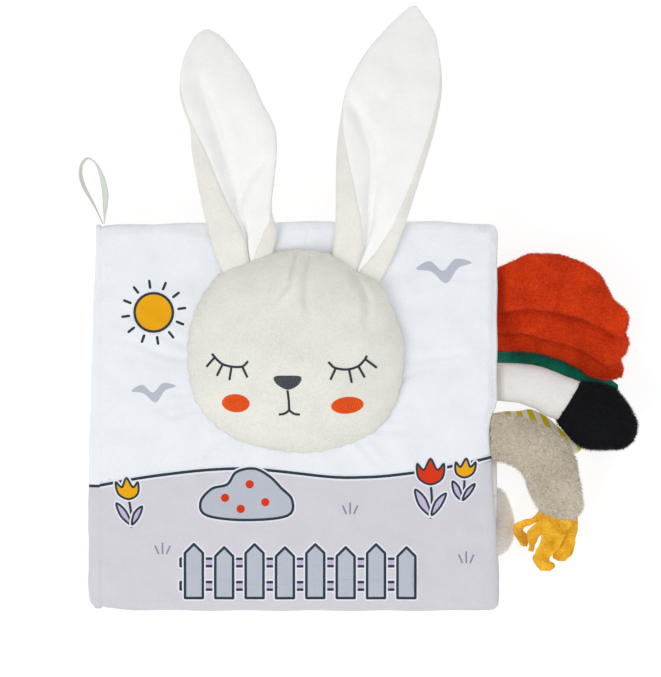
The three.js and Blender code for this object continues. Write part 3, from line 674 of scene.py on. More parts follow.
# Where the uppermost strip laps over the cover: share of the swell, run inwards, height under its top
SPINE_LAP = [(0.97, 0, 4), (0.86, 0.05, 3.1), (0.68, 0.15, 2.4), (0.42, 0.3, 1.9), (0.12, 0.6, 1.55),
             (-0.05, 1.2, 1.5), (-0.1, 2, 1.7)]


def outward(made):
    """Turns every face outwards."""
    shell = bmesh.new()
    shell.from_mesh(made.data)
    bmesh.ops.recalc_face_normals(shell, faces=shell.faces)
    shell.to_mesh(made.data)
    shell.free()
    return made


def make_tube(name, rows, materials):
    """A tube with closed ends through rows of points, each row a closed ring of the same count."""
    count = len(rows[0])
    faces = []
    for ring in range(len(rows) - 1):
        for side in range(count):
            after = (side + 1) % count
            a, b = ring * count + side, ring * count + after
            faces.append((a, b, b + count, a + count))
    last = (len(rows) - 1) * count
    faces.append(tuple(range(count))[::-1])
    faces.append(tuple(last + side for side in range(count)))
    return outward(make_object(name, np.concatenate(rows), faces, materials))


def strip_ring(y, below, above, share):
    """Closed row of points across a strip at one place along the spine."""
    swell = share * np.interp(y, *zip(*SPINE_SWELL))
    wave = 0.12 * math.sin(y / 5.1 + below.seam) + 0.08 * math.sin(y / 1.9)
    laps = above.name == "front_cover"
    high = above.seam - 1.5 if laps else above.seam
    outer, inner = [], []
    for along in np.linspace(0, 1, 11):
        out = swell * math.sin(math.pi * along / (2 if laps else 1)) ** 0.6
        z = below.seam + along * (high - below.seam)
        outer.append((SPINE_X - out + wave, y, z))
        inner.append((SPINE_X - out + wave + SPINE_THICK, y, z))
    if laps:
        for part, run, down in SPINE_LAP:
            x = SPINE_X - part * swell + wave + run
            outer.append((x, y, above.top - down))
            inner.append((x + 0.5 * SPINE_THICK, y, above.top - down - 0.8 * SPINE_THICK))
    return outer + inner[::-1]


# Unprinted brushed polyester: the cover's matt bluish white
spine_cloth = cloth_material("spine polyester", 0xF1F4F9, 0xE6EBF1, 0.9, 0.25)
hill_start = np.interp(SPINE_X, hill[:, 0], hill[:, 1])
line_half = HILL_LINE / 2
spots = np.linspace(SPINE_START, SPINE_END, SPINE_ROWS)
spots = np.sort(np.append(spots, [hill_start - line_half, hill_start + line_half]))
for order, (below, above) in enumerate(zip(sheets, sheets[1:])):
    laps = above.name == "front_cover"
    rows = [strip_ring(y, below, above, STRIP_SHARES[order]) for y in spots]
    strip = make_tube(f"spine_strip_{above.name}", rows, [cover_cloth if laps else spine_cloth])
    if laps:
        spot_inks = []
        for y in (spots[:-1] + spots[1:]) / 2:
            drawn = INK_GROUND if y < hill_start else INK_SKY
            spot_inks += [INK_LINE if abs(y - hill_start) < line_half else drawn] * len(rows[0])
        paint(strip, spot_inks + [INK_GROUND, INK_SKY])
    held = [f"{above.name}_spine_tape"] + (["back_cover_spine_tape"] if order == 0 else [])
    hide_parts(*held)
    fold = (below.top + above.bottom) / 2
    bend = (fold - 1.0, above.top - 2) if laps else (fold - 1.0, fold + 1.0)
    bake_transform(strip)


# Rabbit head: one piece of short-pile plush over fibre filling, sewn onto the cover round its edge,
# so that it stands up as a flattened dome. A few tucks at the crown and one at the chin take up the
# plush's spare width.

HEAD_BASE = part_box("front_cover_outer_panel")[1].z / MM - 0.25
HEAD_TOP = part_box("head_face_panel")[1].z / MM
# Powers that make the dome flat on top and steep at its rim
DOME_FLAT, DOME_STEEP = 2.3, 0.56
# Each tuck: its line over the plush, how deep it is and how wide
tucks = [
    ([(0.6, 72.5), (-1, 67), (-3, 58.3), (-6.5, 53.8), (-8.8, 49.3)], 1.7, 1.0),
    ([(6, 70), (4.4, 62.8), (3.9, 51.8), (4.6, 45)], 2.4, 2.0),
    ([(24, 64), (29, 56.3), (31.6, 50.5), (30.3, 37.6)], 2.8, 2.1),
    ([(45.5, 49), (43, 41), (39, 30)], 1.4, 3.0),
    ([(-1.2, -16.8), (-1.2, -12.3)], 0.9, 0.8),
]


def head_height(x, y):
    """Height of the head's plush over a place on the cover."""
    away = np.hypot(x - HEAD_MIDDLE[0], y - HEAD_MIDDLE[1])
    share = np.clip(away / head_reach(np.arctan2(y - HEAD_MIDDLE[1], x - HEAD_MIDDLE[0])), 0, 1)
    height = (HEAD_TOP - HEAD_BASE) * (1 - share**DOME_FLAT) ** DOME_STEEP
    for line, deep, wide in tucks:
        far, along = near_line(x, y, line)
        taper = np.clip(4 * (1 - along), 0, 1) * np.clip(height / 6, 0, 1)
        height = height - deep * taper * np.exp(-((far / wide) ** 2))
        height = height + 0.4 * deep * taper * np.exp(-((far / (3.2 * wide)) ** 2))
    swell = soft_noise(np.c_[x, y, np.zeros(len(x))], 17, 6)
    return HEAD_BASE + height + 0.35 * swell * np.clip(height / 10, 0, 1)


# Points round the head, and rings up its dome
SECTORS, DOME_RINGS = 264, 74
turns = np.arange(SECTORS) / SECTORS * 2 * math.pi
reach = head_reach(turns)
pucker = 0.2 * np.sin(turns * 37) + 0.16 * np.sin(turns * 61 + 1)
ring_shares = np.sin(np.linspace(0.02, 0.5, DOME_RINGS) * math.pi)
ways = np.c_[np.cos(turns), np.sin(turns)]
rings = []
for share in ring_shares:
    under = HEAD_MIDDLE + share * reach[:, None] * ways
    place = under + share**24 * pucker[:, None] * ways
    z = head_height(under[:, 0], under[:, 1]) if share < 0.999 else np.full(SECTORS, HEAD_BASE + 1.2)
    rings.append(np.c_[place, z])
for share, z in ((0.992, 0.35), (0.965, 0.0), (0.5, 0.0), (0.02, 0.0)):
    place = HEAD_MIDDLE + share * reach[:, None] * ways
    rings.append(np.c_[place, np.full(SECTORS, HEAD_BASE + z)])
# Short-pile plush, knitted polyester brushed up: matt, with a soft even nap in a warm pale grey
face_plush = cloth_material("warm grey short-pile plush", 0xF3F2EA, 0xDFDED6, 0.7, 0.5)
head = make_tube("head_plush", rings, [face_plush])
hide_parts("head_face_panel", "head_stuffing")
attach(head, "front_cover")


# Embroidered face: rayon threads stitched side by side through the plush by machine. Lids, lashes
# and mouth are narrow satin columns, nose and cheeks are filled with rows of short stitches.

# Thickness of a thread, half as much again as a real one's, so that it shows
THREAD = 0.42


def new_tree(name, **inputs):
    """An empty node tree for a mesh, with its other inputs' kinds by name, and those inputs' sockets."""
    tree = bpy.data.node_groups.new(name, "GeometryNodeTree")
    for socket, kind in {"Geometry": "Geometry", **inputs}.items():
        tree.interface.new_socket(socket, in_out="INPUT", socket_type=f"NodeSocket{kind}")
    tree.interface.new_socket("Geometry", in_out="OUTPUT", socket_type="NodeSocketGeometry")
    return tree, tree.nodes.new("NodeGroupInput").outputs


def end_tree(tree, points, copied, rotation, scale, material):
    """The last nodes of a tree: an object's copies on points, made real and given a material."""
    shape = add_node(tree, "GeometryNodeObjectInfo", {"Object": copied}).outputs["Geometry"]
    put = {"Points": points, "Instance": shape, "Rotation": rotation, "Scale": scale}
    placed = add_node(tree, "GeometryNodeInstanceOnPoints", put).outputs[0]
    real = add_node(tree, "GeometryNodeRealizeInstances", {"Geometry": placed}).outputs[0]
    clad = {"Geometry": real, "Material": material}
    made = add_node(tree, "GeometryNodeSetMaterial", clad).outputs[0]
    tree.links.new(made, tree.nodes.new("NodeGroupOutput").inputs[0])
    return tree


def thread_tree():
    """Puts one thread on each point, as long as the point says and turned along the cloth."""
    tree, given = new_tree("sewn_threads", Thread="Object", Material="Material")
    kind = "GeometryNodeInputNamedAttribute"
    along, up, stretch = (
        add_node(tree, kind, {"Name": name}, data_type="FLOAT_VECTOR").outputs[0]
        for name in ("along", "up", "stretch")
    )
    align = "FunctionNodeAlignRotationToVector"
    turned = add_node(tree, align, {"Vector": along}, axis="X").outputs[0]
    upright = {"Rotation": turned, "Vector": up}
    turned = add_node(tree, align, upright, axis="Z", pivot_axis="X").outputs[0]
    return end_tree(tree, given["Geometry"], given["Thread"], turned, stretch, given["Material"])


def apply_tree(made, tree, values):
    """Gives an object the mesh that a node tree makes of it."""
    modifier = made.modifiers.new("nodes", "NODES")
    modifier.node_group = tree
    for item in tree.interface.items_tree:
        if item.in_out == "INPUT" and item.name in values:
            modifier[item.identifier] = values[item.name]
    seen = made.evaluated_get(bpy.context.evaluated_depsgraph_get())
    mesh = bpy.data.meshes.new_from_object(seen)
    made.modifiers.clear()
    made.data = mesh
    mesh.shade_smooth()
    return made


def thread_prototype():
    """One thread of unit length that dips into the cloth at both ends."""
    rows = []
    for step in np.linspace(-1, 1, 7):
        rise = THREAD * (1 - step**4) - 0.12
        wide = THREAD / 2 * (1 - 0.35 * step**8)
        angles = np.arange(6) * math.pi / 3
        rows.append([(step / 2 / MM, wide * math.cos(a), rise + wide * math.sin(a)) for a in angles])
    return make_tube("thread_prototype", rows, [])


def head_normal(x, y):
    """The way that the head's plush faces at a place."""
    step = 0.6
    slope_x = (head_height(x + step, y) - head_height(x - step, y)) / (2 * step)
    slope_y = (head_height(x, y + step) - head_height(x, y - step)) / (2 * step)
    normal = np.c_[-slope_x, -slope_y, np.ones(len(x))]
    return normal / np.linalg.norm(normal, axis=1)[:, None]


def embroider(name, stitches, material):
    """Threads on the head from a list of stitches, each from one place to another."""
    stitches = np.array(stitches, float)
    middle = (stitches[:, :2] + stitches[:, 2:]) / 2
    stitched.extend([*stitches[:, :2], *middle, *stitches[:, 2:]])
    ends = []
    for pair in (stitches[:, :2], stitches[:, 2:]):
        ends.append(np.c_[pair, head_height(pair[:, 0], pair[:, 1])])
    along = ends[1] - ends[0]
    length = np.linalg.norm(along, axis=1)
    up = head_normal(middle[:, 0], middle[:, 1])
    lift = np.maximum(head_height(middle[:, 0], middle[:, 1]), (ends[0][:, 2] + ends[1][:, 2]) / 2)
    made = make_object(name, np.c_[middle, lift], [], [])
    stretch = np.c_[length * MM, np.ones((len(length), 2))]
    for key, value in (("along", along), ("up", up), ("stretch", stretch)):
        made.data.attributes.new(key, "FLOAT_VECTOR", "POINT").data.foreach_set("vector", value.ravel())
    apply_tree(made, sewn, {"Thread": prototype, "Material": material})
    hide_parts(name.replace("_threads", ""))
    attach(made, "front_cover")


def satin(line, width, spacing=0.34):
    """Stitches across a line, close beside each other."""
    line = curve_through(line, 8)
    steps = np.linalg.norm(np.diff(line, axis=0), axis=1)
    far = np.concatenate([[0], np.cumsum(steps)])
    places = np.arange(0, far[-1] + 1e-6, spacing)
    x, y = np.interp(places, far, line[:, 0]), np.interp(places, far, line[:, 1])
    run = np.gradient(np.c_[x, y], axis=0)
    run /= np.linalg.norm(run, axis=1)[:, None]
    side = np.c_[-run[:, 1], run[:, 0]] * width / 2 + run * 0.12
    return [(x0 - s[0], y0 - s[1], x0 + s[0], y0 + s[1]) for x0, y0, s in zip(x, y, side)]


def filled(shape, turn, length, spacing=0.36):
    """Rows of stitches that fill a shape, each row's ends set off from the last one's."""
    turned = math.radians(turn)
    axes = np.array([[math.cos(turned), -math.sin(turned)], [math.sin(turned), math.cos(turned)]])
    flat = np.asarray(shape) @ axes
    rows = []
    for index, x in enumerate(np.arange(flat[:, 0].min() + spacing / 2, flat[:, 0].max(), spacing)):
        crossings = []
        for a, b in zip(flat, np.roll(flat, -1, axis=0)):
            if (a[0] - x) * (b[0] - x) < 0:
                crossings.append(a[1] + (b[1] - a[1]) * (x - a[0]) / (b[0] - a[0]))
        low, high = min(crossings), max(crossings)
        start = low - length * (index * 0.37 % 1)
        cuts = [low] + [y for y in np.arange(start, high, length) if low + 0.5 < y < high - 0.5] + [high]
        for a, b in zip(cuts, cuts[1:]):
            ends = np.array([(x, a - 0.1), (x, b + 0.1)]) @ axes.T
            rows.append((*ends[0], *ends[1]))
    return rows


def thread_material(name, colour, dark):
    """Rayon embroidery thread: smooth and slightly shiny, with darker grains of painted shade for the dips
    between threads.
    """
    material = cloth_material(name, colour, dark, 0.5, 0.2, sheen=0)
    material.node_tree.nodes["Principled BSDF"].inputs["Roughness"].default_value = 0.55
    return material


sewn = thread_tree()
prototype = thread_prototype()
stitched = []
# Each thread's second colour is painted shade for the dips between threads
dark_thread = thread_material("dark rayon embroidery thread", 0x39444A, 0x232C30)
grey_thread = thread_material("slate rayon embroidery thread", 0x5A6165, 0x3F474B)
red_thread = thread_material("orange-red rayon embroidery thread", 0xFF6C14, 0xDE4606)

# Width of the drawn lines
LINE_WIDTH = 1.05
left_lid = [(-36.9, 27.4), (-34.6, 24.8), (-32, 22.9), (-27.9, 21.9), (-23.5, 22), (-21, 24.2)]
left_lashes = [
    [(-36, 25.8), (-39.6, 21.8)], [(-32.4, 22.6), (-34.8, 18)], [(-28.3, 21.6), (-29.2, 16.2)],
    [(-23.4, 21.7), (-21.2, 17.2)],
]
right_lid = [(14.4, 23.9), (17, 21.5), (22.3, 20.7), (27.1, 22), (30, 24.7), (31.1, 26.6)]
right_lashes = [
    [(17.4, 21), (15.2, 16.3)], [(23.4, 20.4), (24.5, 15)], [(27.6, 21.8), (30.2, 17.2)],
    [(30.8, 25), (35.6, 21.4)],
]
for side, lid, lashes in (("left", left_lid, left_lashes), ("right", right_lid, right_lashes)):
    stitches = satin(lid, LINE_WIDTH)
    for lash in lashes:
        stitches += satin(lash, LINE_WIDTH)
    embroider(f"{side}_eye_stitching_threads", stitches, dark_thread)
mouth = satin([(-3.6, 11.4), (-3.1, 7), (-2.9, 2.6)], LINE_WIDTH)
for corner, bend in (((-7.3, 0.9), (-5, 1.3)), ((1.5, 0.9), (-0.8, 1.2))):
    mouth += satin([corner, bend, (-2.9, 2.8)], LINE_WIDTH)
embroider("mouth_stitching_threads", mouth, dark_thread)
nose = [(-8.6, 17.8), (-3.6, 18), (1.4, 17.8), (2.4, 16.3), (0.6, 13.6), (-3.4, 11.9), (-7.4, 13.6),
        (-9.5, 16.2)]
nose_rows = filled(curve_through(nose, 5, closed=True), 8, 3.2)
embroider("nose_stitching_threads", nose_rows, grey_thread)
left_cheek = oval(-26.5, 5.8, 6.1, 4.0, -3)
embroider("left_cheek_threads", filled(left_cheek, 14, 2.7), red_thread)
right_cheek = oval(22.6, 4.9, 7.1, 3.7, 5)
embroider("right_cheek_threads", filled(right_cheek, -12, 2.7), red_thread)
bpy.data.objects.remove(prototype)


# Pile of the head: the plush's polyester fibres, knitted in as loops, cut and brushed towards the
# chin. The embroidery holds them down, so they are kept clear of it. Real fibres are a tenth as
# thick and ten times as many, too fine to show.


# Fibres' lengths, as shares of the pile's, and how far each strays from the lean
SHORTEST, LONGEST = 0.55, 1.15
STRAY = 0.5


def pile_tree():
    """Stands fibres on a surface where its "pile" attribute is 1, leaning one way and a little astray."""
    sizes = {"Density": "Float", "Length": "Float", "Lean": "Vector", "Seed": "Int"}
    tree, given = new_tree("pile", Fibre="Object", Material="Material", **sizes)
    grows = add_node(tree, "GeometryNodeInputNamedAttribute", {"Name": "pile"}, data_type="FLOAT")
    share = {0: grows.outputs["Attribute"], 1: given["Density"]}
    dense = add_node(tree, "ShaderNodeMath", share, operation="MULTIPLY").outputs[0]
    spread = {"Mesh": given["Geometry"], "Density": dense, "Seed": given["Seed"]}
    spots = add_node(tree, "GeometryNodeDistributePointsOnFaces", spread)
    # The last input of a random value is its seed
    astray = {0: [-STRAY] * 3, 1: [STRAY] * 3, 8: 1}
    stray = add_node(tree, "FunctionNodeRandomValue", astray, data_type="FLOAT_VECTOR").outputs[0]
    way = add_node(tree, "ShaderNodeVectorMath", {0: spots.outputs["Normal"], 1: given["Lean"]}).outputs[0]
    way = add_node(tree, "ShaderNodeVectorMath", {0: way, 1: stray}).outputs[0]
    turned = add_node(tree, "FunctionNodeAlignRotationToVector", {"Vector": way}, axis="Z").outputs[0]
    shares = {2: SHORTEST, 3: LONGEST, 8: 2}
    share = add_node(tree, "FunctionNodeRandomValue", shares, data_type="FLOAT").outputs[1]
    tall = add_node(tree, "ShaderNodeMath", {0: share, 1: given["Length"]}, operation="MULTIPLY").outputs[0]
    scale = add_node(tree, "ShaderNodeCombineXYZ", {0: 1.0, 1: 1.0, 2: tall}).outputs[0]
    return end_tree(tree, spots.outputs["Points"], given["Fibre"], turned, scale, given["Material"])


def fibre_prototype(half):
    """A fibre of unit length: a three-sided spike that starts under the surface."""
    base = [(half * math.cos(a), half * math.sin(a), -0.15 / MM) for a in np.arange(3) * 2 * math.pi / 3]
    faces = [(0, 1, 3), (1, 2, 3), (2, 0, 3), (2, 1, 0)]
    return outward(make_object("fibre_prototype", [*base, (0, 0, 1 / MM)], faces, []))


def grow_pile(surface, material, per_square, length, lean=(0, 0, 0), half=0.11, seed=0, where=None):
    """Fibres of a length in millimetres on a surface, so many on each square millimetre."""
    made = surface.copy()
    made.data = surface.data.copy()
    made.name = f"{surface.name}_pile"
    bpy.context.scene.collection.objects.link(made)
    grows = np.ones(len(made.data.vertices)) if where is None else np.asarray(where, float)
    made.data.attributes.new("pile", "FLOAT", "POINT").data.foreach_set("value", grows)
    fibre = fibre_prototype(half)
    values = {"Fibre": fibre, "Material": material, "Density": per_square / MM**2, "Length": length * MM}
    apply_tree(made, pile_nodes, {**values, "Lean": lean, "Seed": seed})
    made.data.shade_flat()
    bpy.data.objects.remove(fibre)
    return made


pile_nodes = pile_tree()
head_points = np.concatenate(rings)
near_stitch = plane_tree(stitched)
STITCH_CLEARANCE = 1.1
bare = [near_stitch.find((x, y, 0))[2] < STITCH_CLEARANCE for x, y, _ in head_points]
grows = (head_points[:, 2] > HEAD_BASE + 1) & ~np.array(bare)
head_pile = grow_pile(head, face_plush, 2.2, 0.55, (0, -0.3, 0), seed=1, where=grows)
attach(head_pile, "front_cover")


# Ears: a warm grey plush back and a white plush lining, sewn together round the edge and turned,
# with no filling. The back is wider, so its margins roll over to the front, and the lining sinks in
# a groove between. Each ear is pinched flat where it is sewn under the head's rim.

# The lining's pile is shorter and denser than the back's, a chalky white with hardly any grain
white_plush = cloth_material("white short-pile plush", 0xFFFFFF, 0xF3F3F1, 0.7, 0.35)
back_plush = cloth_material("warm grey ear plush", 0xF5F4ED, 0xE2E0D8, 0.7, 0.5)

LEFT_EAR = {
    "left": [(-31.4, 60.5), (-33, 64.5), (-36, 71), (-38.2, 77.7), (-40.1, 85.7), (-41.9, 93.6),
             (-44.1, 104.5), (-46.5, 117.2), (-47.6, 128.4), (-51.7, 140.7), (-52.3, 151.8), (-50.4, 162.1),
             (-46.4, 171), (-42.6, 174.6)],
    "right": [(-9.8, 69), (-10.3, 73), (-9.3, 77.7), (-8.7, 82.1), (-10.2, 87.5), (-11, 93.6),
              (-9.8, 105.3), (-8.7, 117.2), (-9.7, 128.4), (-15.8, 140.7), (-20.4, 151.8), (-27, 162.1),
              (-34.2, 171), (-40, 174.9)],
    # Across the ear from 0 to 1: left seam, bottom of the groove, lip beside it, right seam
    "shares": [(0.52, 0.53, 0.55, 0.57), (0.515, 0.53, 0.55, 0.62), (0.515, 0.53, 0.56, 0.72),
               (0.51, 0.54, 0.585, 0.81), (0.47, 0.545, 0.605, 0.95), (0.38, 0.52, 0.6, 0.99),
               (0.26, 0.59, 0.7, 1), (0.164, 0.62, 0.84, 1), (0.047, 0.56, 0.84, 1), (0.03, 0.46, 0.8, 1),
               (0, 0.4, 0.8, 1), (0, 0.4, 0.8, 1), (0, 0.45, 0.8, 1), (0, 0.5, 0.8, 1)],
    # Heights over the ear's underside: left seam, groove, lip, right seam
    "heights": [(2.6, 1.4, 2.5, 2.6), (3.4, 1.8, 3.1, 3.0), (5.4, 3.0, 5.0, 4.0), (6.2, 3.3, 5.9, 4.6),
                (6.2, 3.4, 6.1, 4.4), (6.2, 3.2, 5.7, 3.8), (5.8, 2.9, 4.8, 3.4), (5.4, 2.8, 4.4, 3.4),
                (5.0, 3.0, 4.5, 3.4), (4.8, 3.2, 4.6, 3.4), (4.2, 3.4, 4.3, 3.2), (3.6, 3.2, 3.7, 2.9),
                (2.8, 2.6, 2.8, 2.2), (1.4, 1.4, 1.4, 1.2)],
    "floor": [36.4, 36.4, 36.6, 37.2, 38.1, 38.8, 39.2, 38.8, 37.4, 35.2, 32.2, 28.7, 24.6, 22.6],
    # Soft valleys in the lining: the line, how deep and how wide
    "hollows": [([(-46, 158), (-43.9, 150), (-36.4, 131.8), (-31.4, 114), (-27.5, 98), (-27, 88)], 3.1, 4.0),
                ([(-10, 118), (-15.5, 113), (-21.5, 104.5), (-25.8, 94), (-26.8, 84)], 2.6, 2.2)],
}
RIGHT_EAR = {
    "left": [(15.2, 68.4), (16.2, 73.6), (17.3, 84.3), (17.6, 95.8), (17.6, 103.9), (18, 118.4),
             (19.3, 130.4), (21.8, 144.2), (25.8, 154), (31.8, 164), (38.7, 172.6), (45.2, 179.6),
             (51, 185.2)],
    "right": [(34.4, 55.4), (37.2, 59.9), (42, 68.3), (45.4, 76.8), (47.9, 83.5), (52.9, 98.8), (57.1, 111.7),
              (61.5, 126.4), (64.7, 141.2), (65.3, 151.9), (64.1, 163.4), (62, 173.7), (54.4, 185.6)],
    "shares": [(0.52, 0.535, 0.55, 0.57), (0.52, 0.54, 0.555, 0.61), (0.5, 0.545, 0.585, 0.73),
               (0.39, 0.545, 0.62, 0.82), (0.29, 0.517, 0.61, 0.87), (0.13, 0.46, 0.55, 0.92),
               (0.03, 0.37, 0.46, 0.94), (0, 0.34, 0.5, 0.955), (0, 0.36, 0.6, 0.97), (0, 0.38, 0.65, 0.985),
               (0, 0.4, 0.7, 1), (0, 0.45, 0.75, 1), (0, 0.5, 0.75, 1)],
    "heights": [(2.4, 1.4, 2.4, 2.4), (3.2, 1.8, 3.0, 2.8), (5.6, 3.0, 5.4, 4.2), (6.4, 3.3, 6.2, 4.6),
                (6.4, 3.3, 6.3, 4.8), (6.0, 3.0, 5.9, 4.6), (5.4, 2.9, 5.1, 4.4), (5.0, 3.0, 4.9, 4.2),
                (4.6, 3.4, 4.7, 3.8), (4.2, 3.5, 4.3, 3.4), (3.5, 3.2, 3.6, 3.0), (2.6, 2.5, 2.7, 2.2),
                (1.4, 1.4, 1.4, 1.2)],
    "floor": [36.4, 36.4, 37.0, 38.2, 39.0, 38.9, 37.9, 35.6, 33.0, 29.6, 26.6, 23.8, 21.9],
    "hollows": [([(22, 143), (26.8, 135), (34.3, 120), (35.5, 104)], 2.8, 3.1),
                ([(38.5, 140), (36.6, 122), (35.5, 110), (33.6, 96), (32, 84), (31, 72)], 3.3, 2.9)],
}
# Thickness of each shell, and points across its margins and its lining
SHELL = 0.9
MARGIN_POINTS, LINING_POINTS = 13, 46
# Least share of the width between a seam, the groove and its lip
LEAST_STEP = 0.02


def ear(name, values, lean):
    """Both shells of an ear, lofted between its two edges, each with its pile."""
    steps = 9
    left, right = curve_through(values["left"], steps), curve_through(values["right"], steps)
    shares = np.clip(curve_through(values["shares"], steps), 0.004, 0.996)
    heights = np.maximum(curve_through(values["heights"], steps), 0.8)
    floor_z = curve_through([(z, 0) for z in values["floor"]], steps)[:, 0]
    back_rows, lining_rows = [], []
    for row in range(len(left)):
        width = np.linalg.norm(right[row] - left[row])
        seam_left, groove, lip, seam_right = shares[row]
        groove = max(groove, seam_left + LEAST_STEP)
        lip = max(lip, groove + LEAST_STEP)
        seam_right = max(seam_right, lip + LEAST_STEP)
        knots = [0, seam_left, groove, lip, seam_right, 1]
        across = right[row] - left[row]
        tall = heights[row]
        edge_z = 0.45 * tall.mean()
        levels = [0.8 * tall[0], tall[0], tall[1], tall[2], tall[3], 0.8 * tall[3]]

        def top(u):
            """Height of the upper side at shares of the ear's width."""
            place = np.clip(np.searchsorted(knots, u, side="right") - 1, 0, 4)
            low, high = np.take(knots, place), np.take(knots, place + 1)
            s = np.clip((u - low) / np.maximum(high - low, 1e-6), 0, 1)
            s = s * s * (3 - 2 * s)
            z = np.take(levels, place) * (1 - s) + np.take(levels, place + 1) * s
            spots = left[row] + across * u[:, None]
            for line, deep, wide in values["hollows"]:
                far, along = near_line(*spots.T, line)
                z = z - deep * np.sin(math.pi * np.clip(along, 0.1, 0.9)) * np.exp(-((far / wide) ** 2))
            z = np.maximum(z, 1.3)
            return edge_z + (z - edge_z) * edge(u)

        def edge(u):
            """How far the rounding at the ear's edges is done, from 0 to 1."""
            inset = np.clip(np.minimum(u, 1 - u) * width / 2.4, 0, 1)
            return np.sqrt(1 - (1 - inset) ** 2)

        def bottom(u):
            """Height of the underside, which rounds up to the edges."""
            return edge_z * (1 - edge(u))

        def at(u, z):
            """Places at shares of the ear's width and heights over its floor, slightly waved."""
            place = left[row] + across * u[:, None]
            wave = 0.35 * soft_noise(np.c_[place, np.full(len(u), 3.0)], 11, 8) * edge(u)
            return np.c_[place, floor_z[row] + z + wave]

        first = seam_left * (1 - np.cos(np.linspace(0, 0.5, MARGIN_POINTS) * math.pi))
        middle = seam_left + (seam_right - seam_left) * np.linspace(0, 1, LINING_POINTS)
        last = 1 - (1 - seam_right) * (1 - np.cos(np.linspace(0.5, 0, MARGIN_POINTS) * math.pi))
        seam_dip = 0.3 * min(1, width / 12)
        inner = np.maximum(top(middle) - SHELL, bottom(middle) + 0.35 * (top(middle) - bottom(middle)))
        under = np.concatenate([first, middle[1:-1], last])[::-1]
        inside = at(middle[1:-1], inner[1:-1] - 0.08)
        outside = at(under, bottom(under) - 0.05)
        back_rows.append(np.concatenate([at(first, top(first)), inside, at(last, top(last)), outside]))
        near_seam = np.minimum(middle - seam_left, seam_right - middle) * width
        dipped = top(middle) - seam_dip * np.exp(-near_seam / 0.5)
        lining_rows.append(np.concatenate([at(middle, dipped), at(middle[::-1], inner[::-1])]))
    back_grows = [1] * len(first) + [0] * len(inside) + [1] * (len(last) + len(under))
    lining_grows = [1] * len(middle) + [0] * len(inner)
    for part, rows, material, slot, grows in (
        ("back", back_rows, back_plush, "face_plush", back_grows),
        ("lining", lining_rows, white_plush, "white_plush", lining_grows),
    ):
        made = make_tube(f"{name}_{part}_plush", rows, [material])
        pile = grow_pile(made, material, 1.8, 0.5, lean, seed=2, where=grows * len(rows))
        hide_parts(f"{name}_{part}")
        for piece in (made, pile):
            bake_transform(piece)


ear("left_ear", LEFT_EAR, (-0.1, 0.4, 0))
ear("right_ear", RIGHT_EAR, (0.15, 0.4, 0))


# Rooster tail: three rust velour feathers over a green one, each sewn from two pieces, turned and
# lightly stuffed, with their roots sewn together into the fore-edge seam of the second page.


def stuffed_form(name, upper, lower, middle, thick, material, sides=44, steps=7, corner=2.3, tilt=0):
    """A closed form between two edges seen from above, with its middle height and half thickness.

    Its section is a rounded oblong, squarer with a higher corner, and its upper edge lies higher by tilt.
    """
    upper, lower = curve_through(upper, steps), curve_through(lower, steps)
    depths = curve_through(np.c_[middle, thick, np.zeros(len(thick)) + tilt], steps)
    angles = np.arange(sides) / sides * 2 * math.pi
    c, s = np.cos(angles), np.sin(angles)
    across = np.sign(c) * np.abs(c) ** (2 / corner)
    up = np.sign(s) * np.abs(s) ** (2 / corner)
    rows = []
    for a, b, (z, half, rise) in zip(upper, lower, depths):
        centre, reach = (a + b) / 2, (a - b) / 2
        rows.append(np.c_[centre + across[:, None] * reach, z + up * max(half, 0.15) + across * rise / 2])
    return make_tube(name, rows, [material])


def lump(made, *waves):
    """Moves each point along its normal by soft noise, with the size, amount and seed of each wave."""
    mesh = made.data
    count = len(mesh.vertices)
    place, normal = np.empty(count * 3), np.empty(count * 3)
    mesh.vertices.foreach_get("co", place)
    mesh.vertices.foreach_get("normal", normal)
    place, normal = place.reshape(-1, 3), normal.reshape(-1, 3)
    for size, amount, seed in waves:
        place = place + normal * (soft_noise(place / MM, size, seed) * amount * MM)[:, None]
    mesh.vertices.foreach_set("co", place.ravel())
    mesh.update()


def hang_on(made, node, pile=None):
    """Hides a tail's CAD part and bakes the tail's placement, and its pile's, into their points."""
    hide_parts(node)
    for piece in (made, pile) if pile else (made,):
        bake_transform(piece)


# Velour, knitted, sheared and brushed: deep colour, mottled in patches of painted sheen, lighter and darker
# where the nap lies another way. The green one is shorter and catches a little more light.
rust_plush = cloth_material(
    "rust velour plush", 0xE84815, 0xB42A0A, 1.0, 0.6, contrast=0.8, mottle=0.9, patch=9, shine=0.05
)
green_plush = cloth_material("bottle green velour", 0x0F8269, 0x065143, 0.9, 0.4, mottle=1.0, patch=9)

